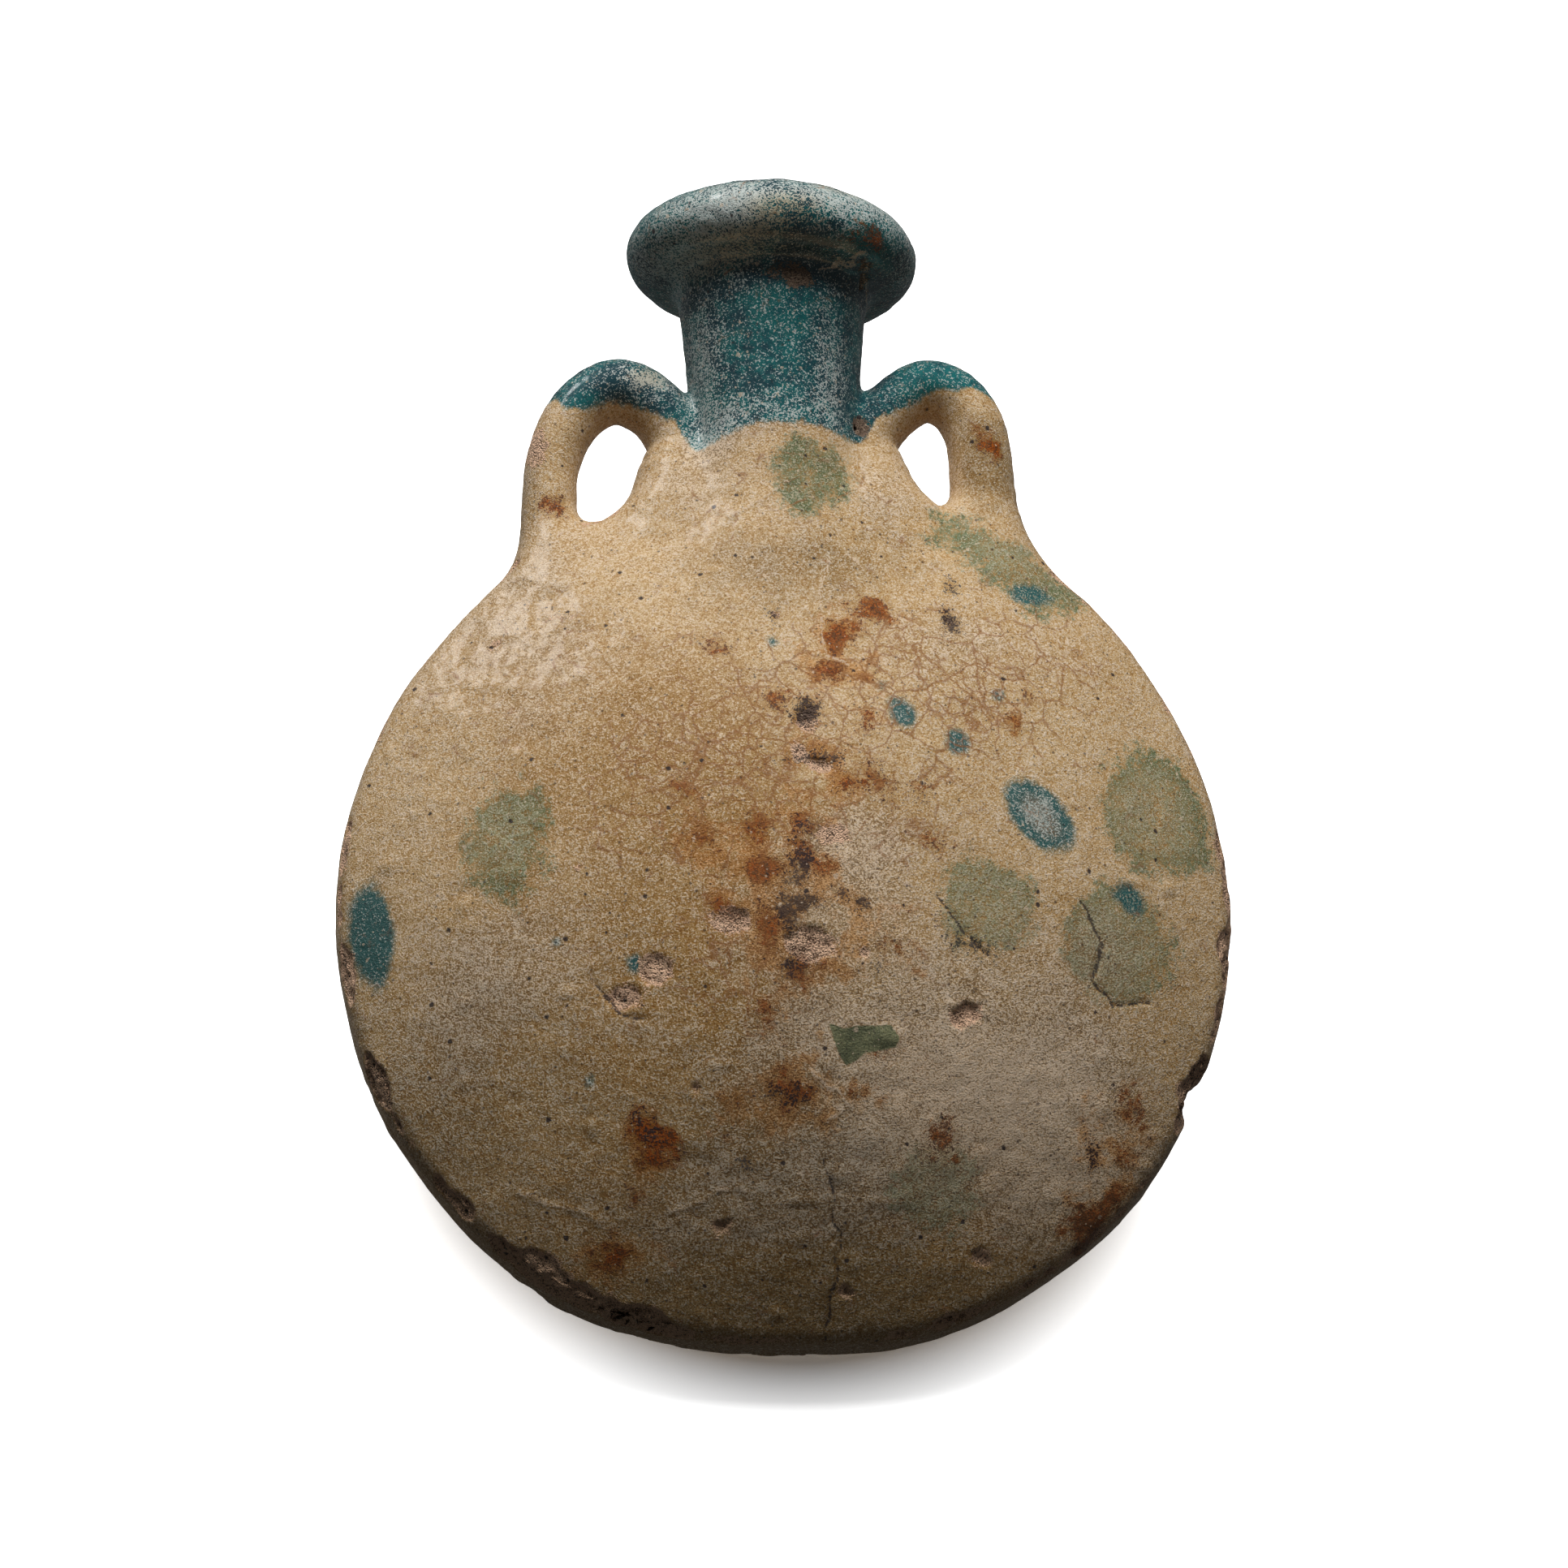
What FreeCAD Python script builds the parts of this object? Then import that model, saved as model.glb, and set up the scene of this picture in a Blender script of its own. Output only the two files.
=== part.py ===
"""Pilgrim flask of glazed earthenware, millimetres.

Frame: +Z up along the neck, the front dome faces -Y, +X to the right seen from the front.
The origin is under the middle of the flask, on the surface that its foot stands on.
The pieces are the clay parts as a potter makes them, luted face to face:
two domed shells, the band between them, the neck, its lip coil and root collar, and two handles.
"""

import FreeCAD
import Part
import math
import os

from FreeCAD import Vector

os.makedirs("parts", exist_ok=True)

# Body: a lens of two equal domes on a straight edge band
body_radius = 100.0
dome_rise = 31.0
band_width = 14.0
shell_wall = 7.5
foot_depth = 2.0  # how far the lowest edge is pressed flat to stand on

# Neck and mouth
bore_radius = 12.5
neck_root_radius = 20.0
neck_top_radius = 22.0
neck_height = 57.2  # from the top of the band to the centre of the lip coil
lip_coil_radius = 9.6  # the rolled lip's own thickness is twice this
lip_overhang = 11.6  # how far the lip stands out past the neck

# Clay collar that smooths the neck's root into the shoulder
collar_rise = 16.0  # above the top of the band
collar_top_wall = 1.5
collar_side_reach = 13.5  # sideways past the neck, at the level of the band's top
collar_front_reach = 3.0  # forwards and backwards past the neck, at that level
collar_drop = 25.0  # how far it runs down the domes
collar_drop_spread = 7.0  # how much wider it is there
collar_drop_front = 0.5  # how much deeper it is there

# Handles: an upright arch each, with an oval section
handle_thickness = 12.0
handle_depth = 15.0
handle_crest = 31.6  # outside of the arch above the top of the band
left_inner_gap = 4.0  # from the neck's side to the centre of the arch's inner leg
left_span = 28.6  # between the centres of the arch's two legs
right_inner_gap = 2.4
right_span = 25.6

# Worked out from the values above
half_band = band_width / 2
centre_z = body_radius - foot_depth
band_top_z = centre_z + body_radius
dome_radius = (body_radius**2 + dome_rise**2) / (2 * dome_rise)
dome_offset = dome_radius - dome_rise - half_band  # the dome's centre lies this far past mid-plane
cavity_radius = dome_radius - shell_wall
cavity_rim_radius = math.sqrt(cavity_radius**2 - (dome_offset + half_band) ** 2)
lip_centre_z = band_top_z + neck_height
lip_ring_radius = neck_top_radius + lip_overhang - lip_coil_radius
lip_top_z = lip_centre_z + lip_coil_radius
far = 4 * (body_radius + neck_height)  # larger than the whole flask
Y_AXIS = Vector(0, 1, 0)
Z_AXIS = Vector(0, 0, 1)


def slab(y_low, y_high):
    """Everything between two upright planes that face front and back."""
    return Part.makeBox(2 * far, y_high - y_low, 2 * far, Vector(-far, y_low, -far))


def under_foot():
    """Everything below the surface that the flask stands on."""
    return Part.makeBox(2 * far, 2 * far, far, Vector(-far, -far, -far))


def dome(side, sphere_radius):
    """A cap on one side of the band, front is -1 and back is +1."""
    sphere = Part.makeSphere(sphere_radius, Vector(0, -side * dome_offset, centre_z))
    if side < 0:
        return sphere.common(slab(-far, -half_band))
    return sphere.common(slab(half_band, far))


def band_disc(radius):
    """A disc as wide as the edge band."""
    return Part.makeCylinder(radius, band_width, Vector(0, -half_band, centre_z), Y_AXIS)


def lathe(outline):
    """Solid of revolution about the neck's axis from a closed outline of edges in the XZ plane."""
    face = Part.Face(Part.Wire(outline))
    return face.revolve(Vector(0, 0, 0), Z_AXIS, 360)


def oval(z, half_x, half_y):
    """A level oval wire on the neck's axis."""
    major, minor = max(half_x, half_y), min(half_x, half_y)
    curve = Part.Ellipse(Vector(0, 0, z), major, minor)
    if half_y > half_x:
        curve.rotate(FreeCAD.Placement(Vector(0, 0, 0), Z_AXIS, 90))
    return Part.Wire(curve.toShape())


def body_envelope():
    """The whole body without its cavity, which the neck, collar and handles sit on."""
    return band_disc(body_radius).fuse([dome(-1, dome_radius), dome(1, dome_radius)])


def bore():
    """The way through the neck into the body."""
    return Part.makeCylinder(bore_radius, lip_top_z, Vector(0, 0, centre_z), Z_AXIS)


def shell(side):
    """A domed shell: it meets the band on a flat face as wide as the shell is there."""
    solid = dome(side, dome_radius).cut(dome(side, cavity_radius))
    return solid.cut([bore(), under_foot()])


def edge_band():
    """The ring of clay that the two shells are luted to, with the flat foot at its lowest point."""
    solid = band_disc(body_radius).cut(band_disc(cavity_rim_radius))
    return solid.cut([bore(), under_foot()])


def neck_outline():
    """Half section of the neck, from inside the body to the rounded mouth."""
    low = Vector(bore_radius, 0, centre_z)
    low_out = Vector(neck_root_radius, 0, centre_z)
    root = Vector(neck_root_radius, 0, band_top_z)
    seat = Vector(neck_top_radius, 0, lip_centre_z - lip_coil_radius)
    crest = Vector(neck_top_radius, 0, lip_top_z)
    throat = Vector(bore_radius, 0, lip_centre_z)
    half_way = math.cos(math.pi / 4)
    middle_x = neck_top_radius - (neck_top_radius - bore_radius) * half_way
    middle = Vector(middle_x, 0, lip_centre_z + lip_coil_radius * half_way)
    return [
        Part.makeLine(low, low_out),
        Part.makeLine(low_out, root),
        Part.makeLine(root, seat),
        Part.makeLine(seat, crest),
        Part.Arc(crest, middle, throat).toShape(),
        Part.makeLine(throat, low),
    ]


def neck():
    """The neck's tube; its foot is cut to a saddle that sits on the body."""
    return lathe(neck_outline()).cut([body_envelope(), bore()])


def lip_ring():
    """The coil rolled round the top of the neck."""
    ring = Part.makeTorus(lip_ring_radius, lip_coil_radius, Vector(0, 0, lip_centre_z), Z_AXIS)
    return ring.cut(lathe(neck_outline()).fuse(bore()))


def collar_blank():
    """The collar before the neck and the body are taken out of it."""
    top = neck_root_radius + collar_top_wall
    side = neck_root_radius + collar_side_reach
    front = neck_root_radius + collar_front_reach
    sections = [
        oval(band_top_z + collar_rise, top, top),
        oval(band_top_z, side, front),
        oval(band_top_z - collar_drop, side + collar_drop_spread, front + collar_drop_front),
    ]
    return Part.makeLoft(sections, True, True)


def neck_collar():
    """Clay smoothed round the neck's root, down onto the shoulder and both domes."""
    return collar_blank().cut([body_envelope(), lathe(neck_outline()), bore()])


def handle(side, inner_gap, span):
    """An upright arch from the neck's root to the shoulder, left is -1 and right is +1."""
    inner_x = side * (neck_root_radius + inner_gap)
    outer_x = inner_x + side * span
    arch_radius = span / 2
    spring_z = band_top_z + handle_crest - handle_thickness / 2 - arch_radius
    low_z = centre_z + body_radius / 2
    crest = Vector((inner_x + outer_x) / 2, 0, spring_z + arch_radius)
    foot_in = Vector(inner_x, 0, low_z)
    path = Part.Wire(
        [
            Part.makeLine(foot_in, Vector(inner_x, 0, spring_z)),
            Part.Arc(Vector(inner_x, 0, spring_z), crest, Vector(outer_x, 0, spring_z)).toShape(),
            Part.makeLine(Vector(outer_x, 0, spring_z), Vector(outer_x, 0, low_z)),
        ]
    )
    section = oval(low_z, handle_thickness / 2, handle_depth / 2)
    section.translate(Vector(inner_x, 0, 0))
    arch = path.makePipeShell([section], True, False)
    return arch.cut([body_envelope(), collar_blank(), lathe(neck_outline())])


def largest(shape):
    """The largest solid of a cut, without slivers left on its far side."""
    return max(shape.Solids, key=lambda solid: solid.Volume)


def save(name, shape):
    solid = largest(shape)
    solid.exportStep("parts/" + name + ".step")
    print("%-13s %8.0f mm3, valid: %s" % (name, solid.Volume, solid.isValid()))


save("front_shell", shell(-1))
save("back_shell", shell(1))
save("edge_band", edge_band())
save("neck", neck())
save("lip_ring", lip_ring())
save("neck_collar", neck_collar())
save("left_handle", handle(-1, left_inner_gap, left_span))
save("right_handle", handle(1, right_inner_gap, right_span))
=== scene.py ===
"""Glazed earthenware pilgrim flask: the looks, built round the packed clay parts.

One smooth field describes the whole hand-made form, in millimetres. It is meshed once, worn and pitted
once, and then cut into the clay parts, so that neighbouring parts meet without a seam in the glaze.
"""

import math
from itertools import product

import bpy
import numpy as np
from mathutils import Matrix, Vector


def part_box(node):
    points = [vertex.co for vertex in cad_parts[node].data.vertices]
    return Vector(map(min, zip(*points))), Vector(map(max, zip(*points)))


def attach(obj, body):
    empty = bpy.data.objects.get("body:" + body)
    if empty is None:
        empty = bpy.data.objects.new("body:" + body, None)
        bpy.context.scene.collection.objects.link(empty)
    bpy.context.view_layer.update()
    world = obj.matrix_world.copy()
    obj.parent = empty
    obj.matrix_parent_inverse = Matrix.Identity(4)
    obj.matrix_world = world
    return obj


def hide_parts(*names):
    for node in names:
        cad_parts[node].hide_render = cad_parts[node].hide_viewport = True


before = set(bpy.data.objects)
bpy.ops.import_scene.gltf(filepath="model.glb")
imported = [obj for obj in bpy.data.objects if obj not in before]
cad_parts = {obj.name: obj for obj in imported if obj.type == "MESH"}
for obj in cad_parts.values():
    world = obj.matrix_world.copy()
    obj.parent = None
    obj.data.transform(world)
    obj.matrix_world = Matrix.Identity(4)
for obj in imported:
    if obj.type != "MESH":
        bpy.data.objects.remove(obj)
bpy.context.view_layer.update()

MM = 0.001

# ---- Sizes, in millimetres, from the frame


def box_mm(node):
    low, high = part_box(node)
    return np.array(low) / MM, np.array(high) / MM


band_low, band_high = box_mm("edge_band")
front_low, _ = box_mm("front_shell")
lip_low, lip_high = box_mm("lip_ring")
_, neck_high = box_mm("neck")

BODY_RADIUS = (band_high[0] - band_low[0]) / 2
HALF_BAND = band_high[1]
DOME_RISE = -front_low[1] - HALF_BAND
FOOT_DEPTH = 2.0
CENTRE_Z = BODY_RADIUS - FOOT_DEPTH
DOME_RADIUS = (BODY_RADIUS**2 + DOME_RISE**2) / (2 * DOME_RISE)
DOME_OFFSET = DOME_RADIUS - DOME_RISE - HALF_BAND
SHELL_WALL = 7.5
CAVITY_RADIUS = DOME_RADIUS - SHELL_WALL
CAVITY_RIM = math.sqrt(CAVITY_RADIUS**2 - (DOME_OFFSET + HALF_BAND) ** 2)

LIP_COIL = (lip_high[2] - lip_low[2]) / 2
LIP_RING = lip_high[0] - LIP_COIL
LIP_LIFT = 1.2  # the rolled lip sits this much above the plain coil
LIP_Z = lip_low[2] + LIP_COIL + LIP_LIFT
NECK_TOP_RADIUS = neck_high[0]
BORE_RADIUS = 12.5
NECK_ROOT_Z = CENTRE_Z + BODY_RADIUS
NECK_WAIST = 19.2
NECK_FLARE_Z = NECK_ROOT_Z + 14  # above this the neck widens towards the lip
NECK_LEAN = -0.4  # the neck's axis stands this far to the left of the body's

# The rim's own radius, measured round the outline every 15 degrees from the right side upwards
RIM_RADII = (
    98.8, 98.4, 98.8, 100.1, 100, 99.8, 99.5, 99.5, 99.6, 98.95, 98.8, 98.6, 99.4, 99.8, 99.9, 100.4,
    100.9, 99.2, 98.7, 99.5, 99.4, 99.4, 98.6, 98.6,
)

# Handles: points of the arch's centre line with its half thickness there, from the neck to the shoulder
LEFT_HANDLE = (
    (-27, 178, 6), (-25.4, 190, 9), (-23.4, 200, 9), (-22.6, 209, 7), (-27.6, 218.4, 7), (-36, 222.9, 7.3),
    (-43.6, 219.6, 6.9), (-48.7, 212.5, 6.4), (-51.5, 203.5, 6.1), (-52.2, 194, 6.3), (-52.4, 184, 6.6),
    (-51, 174, 7),
)
RIGHT_HANDLE = (
    (25, 178, 6), (23.6, 190, 8.6), (22, 200, 8.4), (20.2, 209.5, 6.8), (25.8, 218.4, 6.6),
    (34, 223.9, 6.5), (41, 221.6, 6.6), (45.3, 215, 6.8), (46.8, 206, 6.9), (47, 197, 7.1),
    (47.6, 188, 7.2), (47, 177, 7),
)
HANDLE_FLATNESS = 0.82  # the section's thickness over its depth

# ---- Noise


def ease(t):
    """From 0 to 1 without a kink at either end."""
    return t * t * (3 - 2 * t)


def level(p, value=0.0):
    """The same value for every point."""
    return np.full(len(p), value, np.float32)


def lattice(ix, iy, iz, seed):
    """A repeatable random value from 0 to 1 at each whole-number point."""
    h = ix.astype(np.uint32) * np.uint32(374761393) + iy.astype(np.uint32) * np.uint32(668265263)
    h = h + iz.astype(np.uint32) * np.uint32(2246822519) + np.uint32(seed * 40503 + 12345)
    h = (h ^ (h >> np.uint32(13))) * np.uint32(1274126177)
    h = (h ^ (h >> np.uint32(16))) * np.uint32(2654435761)
    return ((h ^ (h >> np.uint32(15))) >> np.uint32(8)).astype(np.float32) / np.float32(2**24)


def noise(p, size, seed=0):
    """Smooth value noise from -1 to 1 with features of about the given size."""
    q = p / size
    cell = np.floor(q).astype(np.int64)
    weights = ease((q - cell).astype(np.float32)).T
    total = level(p)
    for corner in product((0, 1), repeat=3):
        wx, wy, wz = (w if far else 1 - w for w, far in zip(weights, corner))
        total += wx * wy * wz * lattice(*(cell + corner).T, seed)
    return 2 * total - 1


def fractal(p, size, octaves, seed=0):
    """Several octaves of noise, from about -1 to 1."""
    total = level(p)
    weight = 1.0
    for octave in range(octaves):
        total += weight * noise(p, size / 2**octave, seed + octave)
        weight *= 0.5
    return total / 1.5


# ---- The form, as a field that is negative in the clay


def smooth_max(a, b, k):
    h = np.maximum(k - np.abs(a - b), 0) / k
    return np.maximum(a, b) + h * h * k / 4


def smooth_min(a, b, k):
    return -smooth_max(-a, -b, k)


def between(a, b, c, d, t):
    """The smooth curve from b to c; a and d are their neighbours."""
    return 0.5 * (2 * b + (c - a) * t + (2 * a - 5 * b + 4 * c - d) * t**2 + (3 * b - a - 3 * c + d) * t**3)


def smooth_line(points, steps):
    """A smooth line through the given points, as many steps between each two."""
    pts = np.array(points, float)
    pts = np.vstack([2 * pts[0] - pts[1], pts, 2 * pts[-1] - pts[-2]])
    line = []
    for i in range(1, len(pts) - 2):
        a, b, c, d = pts[i - 1 : i + 3]
        line += [between(a, b, c, d, t) for t in np.arange(steps) / steps]
    line.append(pts[-2])
    return np.array(line)


DOME_BLEND = 1.0
ARRIS_ROUNDING = 3.6
COLLAR_BLEND = 17.0  # how softly the neck runs into the shoulder
LIP_BLEND = 4.0
FOOT_ROUNDING = 1.2
MOUTH_ROUNDING = 3.0
BORE_BLEND = 5.0
HANDLE_BLEND = 3.2
ROOT_TOP = 206.0  # below this the handles run into the shoulder more softly
ROOT_FADE = 14.0
# Each handle's line, its side and its blend at the shoulder
HANDLES = ((smooth_line(LEFT_HANDLE, 3), -1, 8.5), (smooth_line(RIGHT_HANDLE, 3), 1, 13.0))


def beside(p, ax, az, bx, bz):
    """How far along a line each point lies, from 0 to 1, and how far off it across and up."""
    x, _, z = p.T
    dx, dz = bx - ax, bz - az
    t = np.clip(((x - ax) * dx + (z - az) * dz) / (dx * dx + dz * dz), 0, 1)
    return t, x - ax - t * dx, z - az - t * dz


def handle_field(p, line):
    best = level(p, 1e3)
    flat_y = p[:, 1] * HANDLE_FLATNESS
    for (ax, az, ar), (bx, bz, br) in zip(line[:-1], line[1:]):
        t, u, v = beside(p, ax, az, bx, bz)
        best = np.minimum(best, np.sqrt(u * u + v * v + flat_y * flat_y) - (ar + t * (br - ar)))
    return best


def lens(r, y, dome_radius, dome_blend, rim, rim_blend):
    """Two domes, front and back, that end at a rim."""
    front, back = (np.sqrt(r * r + (y + side * DOME_OFFSET) ** 2) - dome_radius for side in (-1, 1))
    return smooth_max(smooth_max(front, back, dome_blend), r - rim, rim_blend)


def body_field(p):
    """The lens: two domes and the edge band between them, with a slightly uneven rim."""
    x, y, z = p[:, 0], p[:, 1], p[:, 2] - CENTRE_Z
    turn = np.arctan2(z, x) / (2 * math.pi) * len(RIM_RADII)
    low = np.floor(turn).astype(int)
    t = turn - low
    radii = np.array(RIM_RADII, np.float32)
    rim = between(*(radii[(low + k) % len(radii)] for k in (-1, 0, 1, 2)), t)
    r = np.sqrt(x * x + z * z) * (BODY_RADIUS / rim)
    return lens(r, y, DOME_RADIUS, DOME_BLEND, BODY_RADIUS, ARRIS_ROUNDING)


def neck_radius(z):
    """Outside radius of the neck at each height: it widens towards the lip."""
    t = np.maximum(z - NECK_FLARE_Z, 0) / (LIP_Z - LIP_COIL - NECK_FLARE_Z)
    return NECK_WAIST + (NECK_TOP_RADIUS + 0.2 - NECK_WAIST) * t * t


def off_neck_axis(p):
    return np.hypot(p[:, 0] - NECK_LEAN, p[:, 1])


def neck_field(p):
    z = p[:, 2]
    side = off_neck_axis(p) - neck_radius(z)
    return np.maximum(side, np.maximum(z - LIP_Z - 4, CENTRE_Z + 60 - z))


LIP_TILT = math.tan(math.radians(-2.4))
LIP_PITCH = math.tan(math.radians(1.15))
LIP_WIDTH = 8.8  # half the lip's own thickness across, and up and down
LIP_HEIGHT = 7.9
LIP_OUT = 0.6  # the lip is this much wider than the plain coil


def lip_field(p):
    """The rolled lip, a thick ring with an oval section that leans a little."""
    x = p[:, 0] - NECK_LEAN
    z = p[:, 2] - LIP_Z - x * LIP_TILT - p[:, 1] * LIP_PITCH
    u = (np.hypot(x, p[:, 1]) - LIP_RING - LIP_OUT) / LIP_WIDTH
    v = z / LIP_HEIGHT
    return (np.hypot(u, v) - 1) * LIP_HEIGHT


def cavity_field(p):
    """The hollow inside the body, and the bore that leads to it."""
    x, y, z = p[:, 0], p[:, 1], p[:, 2] - CENTRE_Z
    hollow = lens(np.hypot(x, z), y, CAVITY_RADIUS, 2.0, CAVITY_RIM, 3.0)
    bore = np.maximum(off_neck_axis(p) - BORE_RADIUS, -z)
    return smooth_min(hollow, bore, BORE_BLEND)


def trunk_field(p):
    """Body and neck joined by the smoothed collar, without the handles and the lip."""
    return smooth_min(body_field(p), neck_field(p), COLLAR_BLEND)


NOTCH_TURN = math.radians(-25.5)
NOTCH_OUT = 103.5  # from the body's middle to the notch's
NOTCH_SIZE = (8.5, 7.2, 17.0)  # along the rim, towards the middle, and from front to back


def notch_field(p):
    """A piece broken out of the rim, low on the right."""
    x, y, z = p[:, 0], p[:, 1], p[:, 2] - CENTRE_Z
    along = (x * -math.sin(NOTCH_TURN) + z * math.cos(NOTCH_TURN)) / NOTCH_SIZE[0]
    out = (x * math.cos(NOTCH_TURN) + z * math.sin(NOTCH_TURN) - NOTCH_OUT) / NOTCH_SIZE[1]
    return (np.sqrt(along**2 + out**2 + ((y + 3) / NOTCH_SIZE[2]) ** 2) - 1) * 7


def form_field(p):
    """The outside of the whole flask."""
    f = trunk_field(p)
    near = p[:, 2] > CENTRE_Z + 40
    for line, side, root_blend in HANDLES:
        pick = near & (p[:, 0] * side > 4)
        root = np.clip((ROOT_TOP - p[pick][:, 2]) / ROOT_FADE, 0, 1)
        blend = HANDLE_BLEND + (root_blend - HANDLE_BLEND) * root
        f[pick] = smooth_min(f[pick], handle_field(p[pick], line), blend)
    f = smooth_min(f, lip_field(p), LIP_BLEND)
    f = smooth_max(f, -notch_field(p), 1.0)
    f = smooth_max(f, -p[:, 2], FOOT_ROUNDING)
    f += 0.55 * noise(p, 42, 3) + 0.28 * noise(p, 19, 5)
    return f


def clay_field(p):
    """The clay: the form without the cavity."""
    return smooth_max(form_field(p), -cavity_field(p), MOUTH_ROUNDING)


def gradient(field, p, step=0.25):
    g = np.empty_like(p)
    for k in range(3):
        shift = np.zeros(3, p.dtype)
        shift[k] = step
        g[:, k] = (field(p + shift) - field(p - shift)) / (2 * step)
    return g


# ---- Which part of the clay is where

SEAM = 0.8  # a joint runs this far off the surface that a part is luted to


def part_fields(p):
    """For each part, a field that is negative inside its share of the space."""
    x, y, z = p.T
    body, neck, trunk = body_field(p), neck_field(p), trunk_field(p)
    lip = np.maximum(NECK_TOP_RADIUS + 0.4 - off_neck_axis(p), LIP_Z - LIP_COIL - 1.2 - z)
    below = np.maximum(-lip, trunk - SEAM)
    in_body = np.maximum(body - SEAM, below)
    off_body = np.maximum(SEAM - body, below)
    high = z - (LIP_Z - 2 * LIP_COIL)
    handles = np.maximum(np.maximum(SEAM - trunk, -lip), high)
    return {
        "front_shell": np.maximum(in_body, y + HALF_BAND),
        "back_shell": np.maximum(in_body, HALF_BAND - y),
        "edge_band": np.maximum(in_body, np.abs(y) - HALF_BAND),
        "neck": np.maximum(np.maximum(SEAM - body, -lip), smooth_min(neck - SEAM, -high - 6, 0.1)),
        "lip_ring": lip,
        "neck_collar": np.maximum(off_body, SEAM - neck),
        "left_handle": np.maximum(handles, x),
        "right_handle": np.maximum(handles, -x),
    }


# ---- Meshing

CELL = 0.68
GRID_LOW = np.array([-104.0, -42.0, -3.0])
GRID_HIGH = np.array([104.0, 42.0, 271.0])
COARSE = 4  # the field is first sampled this many cells apart
SKIRT = 0.9  # each part runs on this far under its neighbour
SKIRT_SLOPE = 0.5
INNER_CELLS = 4  # unseen inner faces are this much coarser
BATCH = 600000


def batches(index):
    """Grid points, some at a time, with their places in millimetres."""
    for start in range(0, len(index), BATCH):
        part = index[start : start + BATCH]
        yield tuple(part.T), (GRID_LOW + CELL * part).astype(np.float32)


def sample(field, shape):
    """The field on the grid, exact near the surface and only its sign further off."""
    coarse_shape = [n // COARSE + 2 for n in shape]
    axes = [GRID_LOW[k] + CELL * COARSE * np.arange(coarse_shape[k]) for k in range(3)]
    points = np.stack(np.meshgrid(*axes, indexing="ij"), -1).reshape(-1, 3).astype(np.float32)
    coarse = field(points).reshape(coarse_shape)
    near = np.abs(coarse) < CELL * COARSE + 1.2
    grown = near.copy()
    for axis in range(3):
        grown |= np.roll(near, 1, axis) | np.roll(near, -1, axis)
        near = grown.copy()
    for axis in range(3):
        coarse = np.repeat(coarse, COARSE, axis)
        grown = np.repeat(grown, COARSE, axis)
    cut = tuple(slice(COARSE // 2, COARSE // 2 + n) for n in shape)
    values = np.ascontiguousarray(coarse[cut]).astype(np.float32)
    for part, places in batches(np.argwhere(grown[cut])):
        values[part] = field(places)
    return values


EDGES = [
    (0, (0, 0, 0)), (0, (0, 1, 0)), (0, (0, 0, 1)), (0, (0, 1, 1)),
    (1, (0, 0, 0)), (1, (1, 0, 0)), (1, (0, 0, 1)), (1, (1, 0, 1)),
    (2, (0, 0, 0)), (2, (1, 0, 0)), (2, (0, 1, 0)), (2, (1, 1, 0)),
]


def surface_net(values):
    """Cells that the surface crosses, a point in each, and the quads between them."""
    inside = values < 0
    shape = np.array(values.shape)
    total = np.zeros(shape - 1, np.int8)
    for corner in product((0, 1), repeat=3):
        total += inside[tuple(slice(k, n - 1 + k) for k, n in zip(corner, shape))]
    crossed = (total > 0) & (total < 8)
    cells = np.argwhere(crossed)
    number = np.full(crossed.shape, -1, np.int32)
    number[crossed] = np.arange(len(cells))
    summed = np.zeros((len(cells), 3))
    count = np.zeros(len(cells))
    for axis, offset in EDGES:
        a = cells + offset
        b = a.copy()
        b[:, axis] += 1
        va, vb = values[tuple(a.T)], values[tuple(b.T)]
        hit = (va < 0) != (vb < 0)
        t = va[hit] / (va[hit] - vb[hit])
        at = a[hit].astype(float)
        at[:, axis] += t
        summed[hit] += at
        count[hit] += 1
    points = GRID_LOW + CELL * summed / count[:, None]
    quads = []
    for axis in range(3):
        u, v = (axis + 1) % 3, (axis + 2) % 3
        low, high = [slice(None)] * 3, [slice(None)] * 3
        low[axis], high[axis] = slice(0, -1), slice(1, None)
        a, b = inside[tuple(low)], inside[tuple(high)]
        for first, second, flip in ((a, b, False), (b, a, True)):
            edge = np.argwhere(first & ~second)
            edge = edge[(edge[:, u] > 0) & (edge[:, v] > 0)]
            edge = edge[(edge[:, u] < crossed.shape[u]) & (edge[:, v] < crossed.shape[v])]
            corners = []
            for du, dv in ((-1, -1), (0, -1), (0, 0), (-1, 0)):
                c = edge.copy()
                c[:, u] += du
                c[:, v] += dv
                corners.append(number[tuple(c.T)])
            quad = np.stack(corners, 1)
            quads.append(quad[:, ::-1] if flip else quad)
    return cells, number, points, np.vstack(quads)


def settle(points, quads, field, rounds):
    """Evens the mesh out and puts its points on the surface."""
    pairs = np.vstack([quads[:, [k, (k + 1) % 4]] for k in range(4)])
    degree = np.bincount(pairs.ravel(), minlength=len(points))
    for _ in range(rounds):
        mean = np.zeros_like(points)
        for k in range(3):
            mean[:, k] = np.bincount(pairs[:, 0], points[pairs[:, 1], k], len(points))
            mean[:, k] += np.bincount(pairs[:, 1], points[pairs[:, 0], k], len(points))
        mean /= np.maximum(degree, 1)[:, None]
        points = on_surface(points + 0.5 * (mean - points), field)
    return points


def on_surface(points, field):
    g = gradient(field, points)
    size = np.maximum((g * g).sum(1), 0.05)
    step = (field(points) / size)[:, None] * g
    length = np.linalg.norm(step, axis=1, keepdims=True)
    return points - step * np.minimum(1, CELL / np.maximum(length, 1e-9))


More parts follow.
